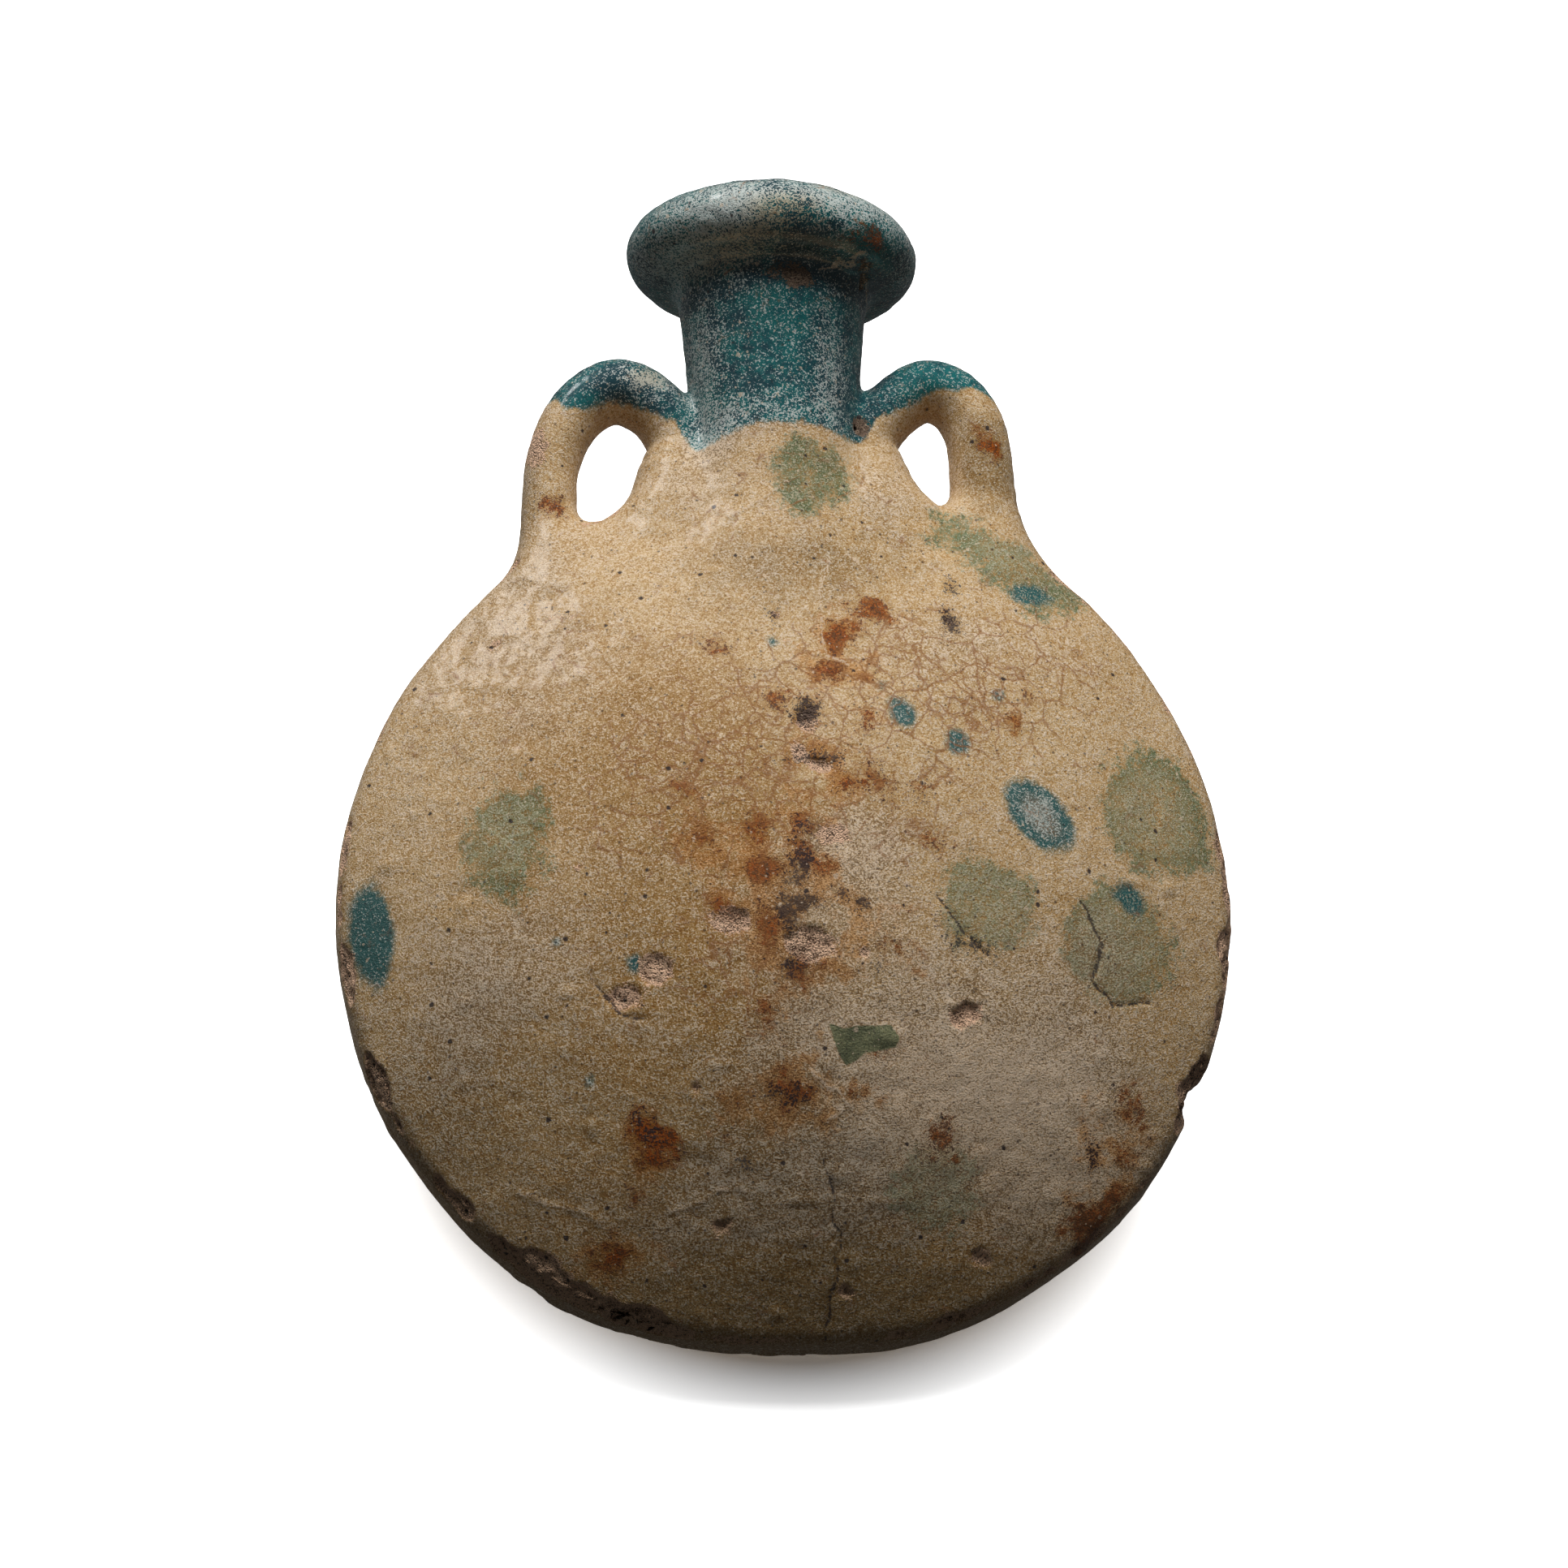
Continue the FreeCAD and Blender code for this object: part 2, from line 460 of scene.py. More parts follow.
def vertex_normals(points, quads):
    a, b, c, d = (points[quads[:, k]] for k in range(4))
    face = np.cross(c - a, d - b)
    out = np.zeros_like(points)
    for k in range(3):
        for corner in range(4):
            out[:, k] += np.bincount(quads[:, corner], face[:, k], len(points))
    return out / np.maximum(np.linalg.norm(out, axis=1, keepdims=True), 1e-12)


# ---- Wear and colour, with some painted light and shade, laid over the form

# Spots on the front, in mm: centre across, centre height, half width, half height, and a turn in degrees
# where they have one
TURQUOISE_SPOTS = (
    (-91.6, 89.3, 4.8, 11.8, 8), (52.9, 112.2, 6.2, 9.6, 39), (23.5, 133.9, 3, 3.9, 35),
    (35.2, 128.1, 2.8, 3.1, 25), (54.7, 168.2, 4.7, 2.9, 4), (73.4, 94.9, 3, 4, 39),
    (-35.4, 76.9, 1.6, 1.9), (-52, 82.7, 0.9, 1), (-45, 52.8, 0.9, 1), (-4.6, 151.5, 1, 1.1),
    (45.7, 140.4, 1.3, 1.3), (19, 140.8, 1.1, 1.1),
)
GREEN_SPOTS = (
    (6, 195.4, 8.4, 9.6, -12), (-62.6, 106.4, 9.6, 12.2, -6), (43, 181, 10.5, 6.5, -25),
    (52, 175, 12, 7, -44), (60, 168.5, 8, 4.6, 8), (80.8, 117, 13.4, 15.5, 12), (41.1, 90.3, 10.5, 11, 5),
    (70.5, 84.4, 12.6, 13.6, 8), (29.5, 30.8, 9, 8.6, 3), (-60.8, 96.5, 3.6, 3.2),
)
PALE_CENTRES = (
    (-63, 107, 6.5, 8), (53.6, 111.4, 3.4, 6, 39), (80, 116, 9.5, 11, 12), (41, 90, 8.5, 8.8),
    (70.5, 84.6, 9.8, 10.6, 8), (29.5, 30.8, 6.6, 6.2), (50.5, 178, 6.5, 4.6, -35),
)
RUST_STAINS = (
    (18.4, 160.7, 4.8, 4.5, 4), (22, 163, 1.8, 1.8, 4), (25.5, 161.2, 3, 1.4, 5),
    (14.8, 155.2, 2.2, 3.1, 3), (10.1, 151.8, 3.2, 3.9, 2), (8.4, 143.7, 6.4, 4.2, -10),
    (15.9, 142.5, 2.2, 1.7, 3), (-3.6, 137.3, 1.4, 2), (0.2, 124.2, 2.1, 3.1, 1),
    (10.6, 115.9, 4.8, 3.7, 23), (13.8, 120.4, 1.8, 2.3, 2), (12.6, 133.6, 1.5, 3.1, 34),
    (-9, 107.2, 1.7, 1.5, -1), (2.4, 106.1, 2.1, 1.5, 1), (0.6, 100.2, 1.7, 1.8), (-7.7, 95.3, 3.8, 2.2),
    (5.7, 95.7, 3.9, 2.5, 1), (10.9, 91.5, 2.1, 2.5, 1), (-7, 83.3, 2.4, 6), (-2.5, 75.4, 3.5, 4.2),
    (7.1, 74.5, 5.9, 2.1, 1), (16.8, 80.1, 2.1, 1.8, 2), (-8.7, 68.2, 2.8, 2.1),
    (-15.3, 86.8, 3.8, 3.2, -1), (27.5, 87.6, 2.1, 1.8, 3), (-0.8, 53.7, 2.8, 3.7), (-0.8, 48.4, 6.8, 5.6),
    (-9.4, 44.2, 5.2, 3.3), (-13.7, 46.6, 1.7, 2.3, -1), (3.5, 44.8, 3.5, 2.6, 1),
    (10.5, 48.5, 2.1, 2.3, 1), (-31.5, 41.6, 6.2, 5.2, -2), (-32.3, 36.5, 3.4, 4.8, -2),
    (-34.9, 29.8, 2.7, 2.2, -3), (27.6, 116.1, 1.8, 1.2, 4), (39.8, 115.6, 1.5, 1.9, 5),
    (48.4, 133.5, 1.3, 2.6, 36), (52.3, 141.6, 2.3, 2.1, 8), (63.5, 39.1, 3.4, 4.9, 6),
    (72.9, 49.2, 5.8, 5, 7), (69.7, 43, 2.7, 4, 6), (68, 31, 3.6, 2.6, 6), (61, 25.9, 3.8, 2.6, 5),
    (64, 20.6, 3, 3.5, 5), (-39, 18.1, 5.8, 4.7, -3), (-43.3, 16, 5.1, 1.9, -3), (29.8, 42.5, 4.6, 3.9, 3),
    (-17.3, 149.6, 2.8, 2.1, -2), (30.7, 103.3, 1.8, 1.5, 4), (21.2, 113, 2.1, 1.5, 3),
    (-20.2, 102.5, 2.4, 1.8, -2), (-25.2, 112.9, 1.7, 2.7, -2), (17.5, 58.7, 1.8, 1, 2),
    (47.5, 213.8, 1.6, 1.4), (50, 205.8, 1.4, 1.8), (-51.7, 192.7, 1.8, 1.2), (21.9, 250.1, 1.4, 1),
)
# Dark stains on the front; those at (2.5, 133.7), (3.1, 122.7), (35.5, 158.8), (36.3, 168.7) and (-3.6,
# 158.5) sit in pits and are painted shade in the holes
DARK_STAINS_AND_PIT_SHADE = (
    (0.1, 97.6, 1.7, 2.9), (-1.3, 94.4, 2.4, 1.4), (-3.8, 88.1, 2.1, 3.2), (-0.5, 89.2, 3.8, 1.8),
    (-2.3, 86, 1.4, 2.5), (-2.6, 75.4, 2.1, 3.1), (12.9, 89.7, 1.4, 1.4, 2), (-0.8, 48.1, 2.8, 1.8),
    (-6, 48.4, 3.8, 1), (9.1, 91.4, 1.8, 1.4, 1), (2.5, 133.7, 2.8, 2.8, 1), (3.1, 122.7, 2.8, 0.6, 1),
    (0.5, 100, 1.4, 1.1), (0.7, 105.9, 1, 0.9), (15.8, 74.3, 0.7, 1.4, 2), (-11.9, 35.4, 1, 1, -1),
    (35.5, 158.8, 1.1, 1.8, 6), (36.3, 168.7, 1, 1.2, 7), (-3.6, 158.5, 0.7, 0.9),
    (63.5, 39.1, 1.5, 3.3, 6), (38.1, 81.2, 3.9, 1.5, -16), (-32, 41.7, 1.4, 2, -3),
    (-34.2, 44.6, 1, 0.7, -3),
)
# Holes broken through the glaze: the same, with the depth before the turn
CLAY_PITS = (
    (2.4, 132, 2.7, 3.2, 1.1), (4.3, 121.1, 2.7, 1.6, 0.9, -8), (1.9, 80, 5.6, 4, 1),
    (-14.8, 85.5, 4.3, 3, 0.8), (-38, 69.9, 4.3, 2.5, 0.9), (-31.2, 75.3, 3.6, 3, 0.9),
    (35.2, 66.2, 3.4, 2.9, 0.9), (39.6, 16.9, 2.1, 1.8, 0.9), (-17.4, 22.4, 1.9, 1.6, 1),
    (8.7, 104.9, 2.3, 1.9, 0.5), (-22.8, 50.4, 1.5, 1.5, 0.9), (35.5, 158.8, 1.1, 1.6, 0.8),
    (36.3, 168.7, 0.9, 0.9, 0.6), (-3.6, 158.5, 0.8, 0.8, 0.6), (13.3, 78.6, 0.8, 0.8, 0.4),
    (9.3, 9.7, 1.5, 1.4, 0.6), (-45.7, 11.4, 2, 1.7, 0.8), (-50.6, 161, 3.2, 0.9, 0.5),
    (-64, 156, 1.2, 1, 0.5), (18.9, 211, 1.7, 2, 1.3), (19.2, 246.2, 1.2, 1.2, 0.8),
    (0.6, 124, 1.6, 2.2, 0.3), (5.8, 104.6, 2.6, 2, 0.3), (-47, 99, 0.8, 0.8, 0.5),
)
HANDLE_CHIP = (-55, 206.5, 2.6, 5.5, 8)
LIP_CHIP = (2.8, 242.8, 4.8, 2.3, -10)
CRACK_LINES = (
    (
        (5, 35.4), (5.7, 32.2), (7.2, 27.4), (6.9, 24.2), (8.2, 20.7), (7.6, 17), (7.5, 12.3), (6.3, 7.6),
        (5.7, 1),
    ),
    ((-44, 73), (-38, 66), (-33, 64.5)),
    ((62, 93), (66.5, 84), (64, 76), (69, 71.5), (77, 73)),
    ((30, 92), (34.5, 84.5), (40.5, 79.5)),
)
RIDGE_LINES = (
    ((-28, 25.5), (-23.8, 26.4), (-20.7, 28.1), (-17.8, 29.5), (-14.4, 30.5), (-11.5, 29)),
    ((-59.7, 31.4), (-56.2, 29.5), (-51.1, 27.9), (-46.8, 26.9), (-43.4, 24.6)),
    ((8.9, 171.9), (6.6, 164.9), (6.4, 153.8), (7.1, 147.4), (12, 146)),
    ((-12, 184.5), (-5, 189), (0.5, 193)),
    ((8.9, 173), (13.5, 175), (17, 171)),
    ((1.5, 53.5), (6.5, 50), (10, 46.5), (5, 43)),
    ((30, 68), (36, 69), (40, 66)),
    ((9, 245), (14, 246.6), (19.5, 248.2)),
    ((19.5, 248.2), (20.6, 243.5), (23.5, 240)),
)
# Lower edge of the turquoise glaze: distance across and height
GLAZE_LINE = (
    (-60, 219), (-51, 217.6), (-49, 215.6), (-43.5, 214.8), (-38.3, 216.9), (-33.4, 216), (-28.8, 214.4),
    (-24.2, 212.5), (-21.5, 207), (-19, 204.6), (-15.7, 204.8), (-11.1, 205.8), (-2.9, 207.9),
    (6.3, 207.6), (13.6, 207), (17.2, 206.4), (20, 208.5), (22.7, 213.9), (27.4, 215.9), (30.3, 218),
    (34, 219.4), (38.7, 221.1), (45.3, 220.6), (48.8, 219.2), (60, 219),
)
# Soft areas are the same as spots, with the amount before the turn: first the pale weathering, in a few
# places painted light
# Of these, (-14, 250.5) and (-17, 247) are frost that also paints light onto the lip's left underside, (11,
# 222) is a painted highlight streak down the neck, and (-27, 219) beside the left handle's root is frost with
# a painted highlight
WEATHERED_AND_LIT_AREAS = (
    (4, 84, 26, 24, 0.36), (-18.9, 60, 34, 22, 0.15), (14, 52, 34, 18, 0.3), (46, 62, 38, 34, 0.26),
    (-60, 76, 24, 18, 0.22), (-10, 26, 60, 18, 0.2), (4, 10, 44, 11, -0.2), (40, 36, 40, 24, 0.22),
    (12, 104, 14, 12, 0.3), (-20, 197, 10, 12, 0.2), (24, 192, 10, 12, 0.24), (-62, 160, 30, 34, 0.16),
    (-40, 140, 30, 16, 0.08), (36, 150, 26, 18, 0.2), (-18, 226, 6, 16, 0.42), (11, 222, 5, 18, 0.38),
    (-16, 208, 8, 9, 0.5), (0, 211, 18, 6, 0.3), (-18, 253, 20, 10, 0.28), (0, 255, 18, 9, 0.26),
    (20, 257, 18, 8, 0.34), (-31, 246, 8, 12, 0.34), (32, 247, 8, 12, 0.3), (-31, 224, 9, 5, 0.34),
    (63, 34, 8, 10, 0.15), (-80, 60, 16, 30, 0.14), (52, 44, 30, 26, 0.24), (-30, 222.5, 6, 3, 0.5),
    (-17, 247, 14, 8, 0.16), (24, 58, 26, 22, 0.14), (44, 66, 24, 22, 0.12), (70.5, 84.4, 12, 13, 0.22),
    (-27, 219, 7, 4, 0.3), (80, 117, 12, 14, 0.14), (0, 260, 40, 8, 0.14), (-17, 258, 17, 5, 0.36),
    # (-4, 246.5) below keeps frost off the crease under the lip, a painted shade there
    (18, 259, 20, 6, 0.36), (-4, 246.5, 40, 4, -0.1), (-14, 250.5, 15, 7, 0.36), (-3, 228, 7, 16, -0.04),
    (53.6, 111.4, 4.2, 7.2, 0.5, 39), (-91.6, 89.3, 8, 14, -0.35), (62, 40, 24, 26, 0.2),
)
# Where the glaze is darker and browner, or with a negative amount, cleaner; over the right handle's outer
# leg, (47, 202), the darkening is a painted shade
SOILED_AND_SHADED_AREAS = (
    (-8, 168, 26, 18, 0.45), (20, 176, 22, 15, 0.5), (-72, 133, 16, 20, 0.25), (50, 44, 44, 38, -0.7),
    (-50, 26, 34, 22, -0.45), (70, 100, 26, 34, -0.3), (47, 202, 9, 18, 0.9),
)
# Where rust has tinted the glaze orange-brown
RUSTY_AREAS = (
    (0, 84, 24, 22, 1), (-3, 47, 22, 12, 1), (8, 150, 11, 17, 0.7, 20), (4, 118, 12, 16, 0.8),
    (66, 36, 16, 24, 0.6), (-33, 38, 7, 12, 0.8), (-40, 17, 12, 8, 0.9), (-20, 104, 18, 14, 0.7),
    (34, 138, 26, 16, 0.35), (44, 22, 14, 8, 0.4),
)
# The one green flake of glaze that is still whole, as a ring of points
GREEN_FLAKE = (
    (5.6, 63.2), (8.5, 62.5), (12.2, 62.9), (19.2, 63.4), (20.7, 60.6), (19.8, 58.8), (16.8, 57.8),
    (13.4, 57.2), (11.4, 55.6), (9, 54.4), (7.6, 57.2),
)
CRACKLED_AREAS = (
    (6, 130, 44, 32, 0.9), (44, 146, 34, 24, 0.7), (-24, 112, 26, 22, 0.9), (-12, 76, 24, 16, 0.6),
    (0, 190, 30, 16, 0.2), (-50, 140, 40, 40, 0.15),
)
YELLOW_AREAS = (
    (-30, 116, 50, 34, 0.8), (-46, 64, 46, 36, 0.5), (-16, 70, 30, 26, 0.9), (-34, 148, 36, 20, 0.35),
    (-30, 30, 40, 18, 0.5), (24, 52, 14, 22, 0.5), (40, 30, 22, 20, 0.5), (0, 12, 60, 16, 0.5),
)

# Where the weathering on the neck and the lip is yellowish, and where their glaze is nearly black; the dark
# entries just under the lip, from 241.5 to 247 mm up, are a painted shade in the crease
WARM_AREAS = (
    (0, 253, 11, 6, 0.9), (-12, 248, 10, 4, 0.6), (-30, 223, 6, 4, 0.6), (14, 262, 8, 3, 0.4),
)
DARK_TEAL_AND_SHADED_AREAS = (
    (1.8, 247, 3.6, 3, 1.4, 20), (6, 244.5, 7, 2.4, 0.9), (-14, 241.5, 16, 3.5, 0.7),
    (16, 243, 12, 4, 0.4), (-36, 221, 8, 4, 0.6), (-31, 250, 6, 9, 0.5),
)

rng = np.random.default_rng(11)


def scatter(count, low, high, spread=84):
    """Random spots for the back, in the same form as the front's."""
    spots = []
    while len(spots) < count:
        x, z = rng.uniform(-spread, spread, 2)
        if math.hypot(x, z) < spread:
            w = rng.uniform(low, high)
            spots.append((x, z + CENTRE_Z, w, w * rng.uniform(0.7, 1.5), rng.uniform(0, 180)))
    return spots


def resized(spots, factor, *amount):
    """The same spots in another size, and with an amount they are areas or pits."""
    return [(x, z, w * factor, h * factor, *amount, turn) for x, z, w, h, turn in spots]


BACK_TURQUOISE = scatter(5, 3.0, 7.5) + scatter(5, 0.9, 1.6)
BACK_GREEN = scatter(8, 6.0, 14.0)
BACK_PALE = resized(BACK_GREEN, 0.7)
BACK_RUST = scatter(12, 1.6, 4.6)
BACK_RUSTY = resized(BACK_RUST, 1.8, 0.8)
BACK_DARK = scatter(5, 1.5, 3.2)
BACK_PITS = resized(scatter(14, 1.0, 4.0), 1, 0.8)
BACK_WEATHERED = resized(scatter(7, 16, 36), 1, 0.24)
BACK_CRACKLED = resized(scatter(4, 24, 44), 1, 0.8)
BACK_YELLOW = resized(scatter(4, 26, 46), 1, 0.6)


def spot_reach(p, x, z, w, h, turn=0):
    """How far inside a spot each point lies, as a share of the spot: 1 in the middle, 0 at its edge."""
    c, s = math.cos(math.radians(turn)), math.sin(math.radians(turn))
    across, up = p[:, 0] - x, p[:, 2] - z
    return 1 - np.hypot((across * c + up * s) / w, (up * c - across * s) / h)


def round_the_edge(p, side):
    """How far a point lies round the edge, out of the front's or the back's face, in mm."""
    return np.maximum(HALF_BAND - side * p[:, 1], 0)


def spots_mm(p, front_spots, back_spots):
    """Millimetres inside the nearest spot's edge, negative outside."""
    best = level(p, -8.0)
    for spots, side in ((front_spots, -1), (back_spots, 1)):
        away = round_the_edge(p, side)
        for spot in spots:
            best = np.maximum(best, spot_reach(p, *spot) * min(spot[2:4]) - away)
    return best


def areas(p, front_areas, back_areas=()):
    """The sum of soft areas."""
    total = level(p)
    for spots, side in ((front_areas, -1), (back_areas, 1)):
        fade = np.clip(1 - round_the_edge(p, side) / 12, 0, 1)
        for spot in spots:
            t = np.clip(spot_reach(p, *spot[:4], *spot[5:]) + 0.25, 0, 1)
            total += ease(t) * spot[4] * fade
    return total


def line_distance(p, line, limit=9.0):
    best = level(p, limit)
    for start, end in zip(line[:-1], line[1:]):
        _, u, v = beside(p, *start, *end)
        best = np.minimum(best, np.hypot(u, v))
    return best


def ring_distance(p, ring):
    """Distance inside a ring of points on the front, in mm, negative outside it."""
    x, _, z = p.T
    inside = np.zeros(len(p), bool)
    nearest = line_distance(p, ring + ring[:1], 1e9)
    for (ax, az), (bx, bz) in zip(ring, ring[1:] + ring[:1]):
        if az != bz:
            crosses = (az > z) != (bz > z)
            inside ^= crosses & (x < ax + (z - az) * (bx - ax) / (bz - az))
    return np.where(inside, nearest, -nearest)


def lines_near(p, lines, width):
    """1 on a line, falling to 0 at the given half width."""
    wobble = np.stack([noise(p, 2.6, 71), noise(p, 9, 73), noise(p, 2.6, 72)], 1)
    q = p + 0.7 * wobble
    best = level(p)
    for line in lines:
        best = np.maximum(best, 1 - line_distance(q, line) / width)
    return np.where(p[:, 1] < 0, np.clip(best, 0, 1), 0)


def edge_wear(p):
    """Where the glaze is chipped off the two arrises of the edge band, in mm, negative where it holds."""
    x, y, z = p[:, 0], p[:, 1], p[:, 2] - CENTRE_Z
    from_arris = np.hypot(np.hypot(x, z) - BODY_RADIUS + 0.6, np.abs(y) - HALF_BAND)
    turn = np.degrees(np.arctan2(z, x)) % 360
    amount = level(p)
    for centre, half, size in EDGE_CHIPS:
        t = np.clip(1 - np.abs((turn - centre + 180) % 360 - 180) / half, 0, 1)
        amount = np.maximum(amount, size * np.sqrt(t))
    ragged = 1.6 * noise(p, 5, 81) + 1.0 * noise(p, 2.2, 82)
    return amount + ragged - from_arris


# Chipped stretches of the rim: direction from the body's middle and half length in degrees, reach in mm
EDGE_CHIPS = (
    (4, 8, 4.2), (-6, 6, 4.4), (-14, 5, 3.6), (190, 5, 3.8), (204, 4, 4.2), (236, 8, 4.6), (250, 10, 3.6),
    (268, 10, 2.6), (334, 6, 7.4), (30, 12, 1.2), (150, 14, 0.8), (172, 8, 1.4), (290, 14, 1.6),
    (310, 8, 1.2), (60, 12, 0.8), (345, 8, 1.8), (222, 5, 2.4),
)


def wear_relief(p, ragged, chipped, line, ridge):
    """How far the surface is pushed out, in mm."""
    crumbly = noise(p, 1.7, 96) + 0.6 * noise(p, 3.4, 97)
    out = level(p)
    for pits, side in ((CLAY_PITS, -1), (BACK_PITS, 1)):
        away = round_the_edge(p, side)
        for pit in pits:
            inside = spot_reach(p, *pit[:4], *pit[5:]) * min(pit[2:4]) + ragged - away
            t = np.clip(inside / 1.1 + 0.3, 0, 1)
            out -= ease(t) * (0.6 * pit[4] - 0.5 * crumbly)
    out -= ease(np.clip(chipped / 1.4, 0, 1)) * (0.9 - 0.5 * crumbly)
    out -= 0.35 * line
    out += 0.22 * ridge
    lumpy = 0.14 + 0.26 * np.clip(areas(p, LUMPY_AREAS), 0, 1)
    out += lumpy * fractal(p, 5.0, 3, 21) + 0.06 * fractal(p, 2.0, 2, 31)
    blister = np.clip(noise(p, 5.5, 41) - 0.62, 0, 1)
    out += 0.9 * blister
    return out


LUMPY_AREAS = (
    (-52, 158, 34, 26, 1), (-70, 120, 20, 40, 0.6), (-16, 186, 26, 16, 0.5), (0, 250, 60, 40, 0.5),
    (0, 40, 90, 40, 0.35),
)


def paint(p):
    """The wear and colour at each point, some of it painted light and shade, as groups of three values, and
    the relief that goes with them.
    """
    x, y, z = p.T
    front = y < 0
    soft = fractal(p, 9, 3, 51)
    broad = fractal(p, 34, 2, 61)
    behind = np.clip((y + 8) / 16, 0, 1)
    teal = z - np.interp(x, *np.transpose(GLAZE_LINE))
    teal += 1.2 * noise(p, 4.5, 52) - 2.0 * broad * behind
    turquoise = spots_mm(p, TURQUOISE_SPOTS, BACK_TURQUOISE) + 0.5 * noise(p, 3, 53)
    green = spots_mm(p, GREEN_SPOTS, BACK_GREEN) + 2.6 * soft
    pale = spots_mm(p, PALE_CENTRES, BACK_PALE) + 1.4 * soft
    rust = spots_mm(p, RUST_STAINS, BACK_RUST) + 6.0 * soft - 0.6
    dark = spots_mm(p, DARK_STAINS_AND_PIT_SHADE, BACK_DARK) + 1.2 * soft
    ragged = 0.9 * noise(p, 3.0, 91) + 0.6 * noise(p, 1.5, 92)
    chipped = edge_wear(p)
    pits, back_pits = ([pit[:4] + pit[5:] for pit in group] for group in (CLAY_PITS, BACK_PITS))
    clay = spots_mm(p, pits, back_pits) + ragged
    clay = np.maximum(clay, chipped)
    clay = np.maximum(clay, 1.5 - notch_field(p) + ragged)
    for chip in (HANDLE_CHIP, LIP_CHIP):
        clay = np.maximum(clay, np.where(front, spot_reach(p, *chip) * min(chip[2:4]), -8) + ragged)
    flake = np.where(front, ring_distance(p, GREEN_FLAKE), -8) + 0.25 * ragged
    # Pale weathering; on the lip's left underside, down the neck and beside the left handle's root it is also
    # painted light and painted highlights
    frost_and_light = 0.13 + 0.16 * broad + 0.10 * soft + areas(p, WEATHERED_AND_LIT_AREAS, BACK_WEATHERED)
    # Darker and browner towards the bottom, from 104 mm down, and in the soiled areas; over the right
    # handle's outer leg a painted shade
    soil_and_shade = np.clip((104 - z) / 80, 0, 1) + 0.25 * broad + 0.1 * soft + areas(p, SOILED_AND_SHADED_AREAS)
    yellow = areas(p, YELLOW_AREAS, BACK_YELLOW) + 0.2 * broad + 0.1
    crackle = areas(p, CRACKLED_AREAS, BACK_CRACKLED)
    warm = areas(p, WARM_AREAS)
    rusty = areas(p, RUSTY_AREAS, BACK_RUSTY)
    blue = areas(p, DARK_TEAL_AND_SHADED_AREAS)
    line = lines_near(p, CRACK_LINES, 0.9)
    ridge = lines_near(p, RIDGE_LINES, 0.9)
    relief = wear_relief(p, ragged, chipped, line, ridge)
    groups = {
        "glaze_colours": (teal, turquoise, green),
        "stains": (rust, dark, clay),
        "wear": (frost_and_light, soil_and_shade, yellow),
        "lines": (crackle, ridge, line),
        "tints": (pale, warm, blue),
        "flakes": (flake, rusty, 0 * flake),
    }
    return {name: np.stack(group, 1).astype(np.float32) for name, group in groups.items()}, relief


# ---- Glaze material


class Graph:
    """Builds a node tree from calls that read like the sums they stand for."""

    def __init__(self, tree):
        tree.nodes.clear()
        self.nodes = tree.nodes
        self.links = tree.links

    def node(self, kind, inputs=(), **settings):
        node = self.nodes.new("ShaderNode" + kind)
        for name, value in settings.items():
            setattr(node, name, value)
        for key, value in dict(inputs).items():
            self.feed(node.inputs[key], value)
        return node

    def feed(self, socket, value):
        if isinstance(value, bpy.types.NodeSocket):
            self.links.new(value, socket)
        elif socket.type == "RGBA":
            socket.default_value = (*value, 1)
        else:
            socket.default_value = value

    def maths(self, operation, a, b=0.0, c=0.0, clamp=False):
        return self.node("Math", {0: a, 1: b, 2: c}, operation=operation, use_clamp=clamp).outputs[0]

    def vector(self, operation, a, b, c=(0, 0, 0)):
        return self.node("VectorMath", {0: a, 1: b, 2: c}, operation=operation).outputs[0]

    def times(self, a, b):
        return self.maths("MULTIPLY", a, b)

    def rest(self, value, whole=1.0):
        return self.maths("SUBTRACT", whole, value)

    def smooth(self, value, low, high):
        ends = {"Value": value, "From Min": low, "From Max": high}
        return self.node("MapRange", ends, interpolation_type="SMOOTHSTEP").outputs["Result"]

    def mix(self, factor, a, b, blend="MIX"):
        return self.node("Mix", {0: factor, 6: a, 7: b}, data_type="RGBA", blend_type=blend).outputs[2]

    def tinted(self, colour, tint):
        return self.mix(1.0, colour, tint, "MULTIPLY")

    def noise(self, at, size, detail, rough):
        settings = {"Vector": at, "Scale": 1 / size, "Detail": detail, "Roughness": rough}
        return self.maths("SUBTRACT", self.node("TexNoise", settings).outputs[0], 0.5)

    def bent(self, at, size, detail, reach):
        """The same places, moved about by a noise."""
        settings = {"Vector": at, "Scale": 1 / size, "Detail": detail}
        return self.vector("MULTIPLY_ADD", self.node("TexNoise", settings).outputs["Color"], (reach,) * 3, at)

    def cells(self, at, size, feature="F1"):
        return self.node("TexVoronoi", {"Vector": at, "Scale": 1 / size}, feature=feature).outputs

    def random_of(self, cells):
        return self.node("SeparateColor", {0: cells["Color"]}).outputs

    def place_mm(self):
        return self.vector("MULTIPLY", self.node("TexCoord").outputs["Object"], (1 / MM,) * 3)

    def painted(self, name):
        read = self.node("Attribute", attribute_name=name)
        return tuple(self.node("SeparateXYZ", {0: read.outputs["Vector"]}).outputs)


def new_material(name):
    material = bpy.data.materials.new(name)
    material.use_nodes = True
    return material, Graph(material.node_tree)


PALE_GLAZE = (0.60, 0.42, 0.225)
YELLOW_GLAZE = (0.42, 0.25, 0.092)
# Darker brown glaze towards the bottom and in the soiled areas, also the painted shade on the right handle's
# leg
SOILED_AND_SHADED_GLAZE = (0.33, 0.215, 0.095)
GRIMY_GLAZE = (0.19, 0.115, 0.055)
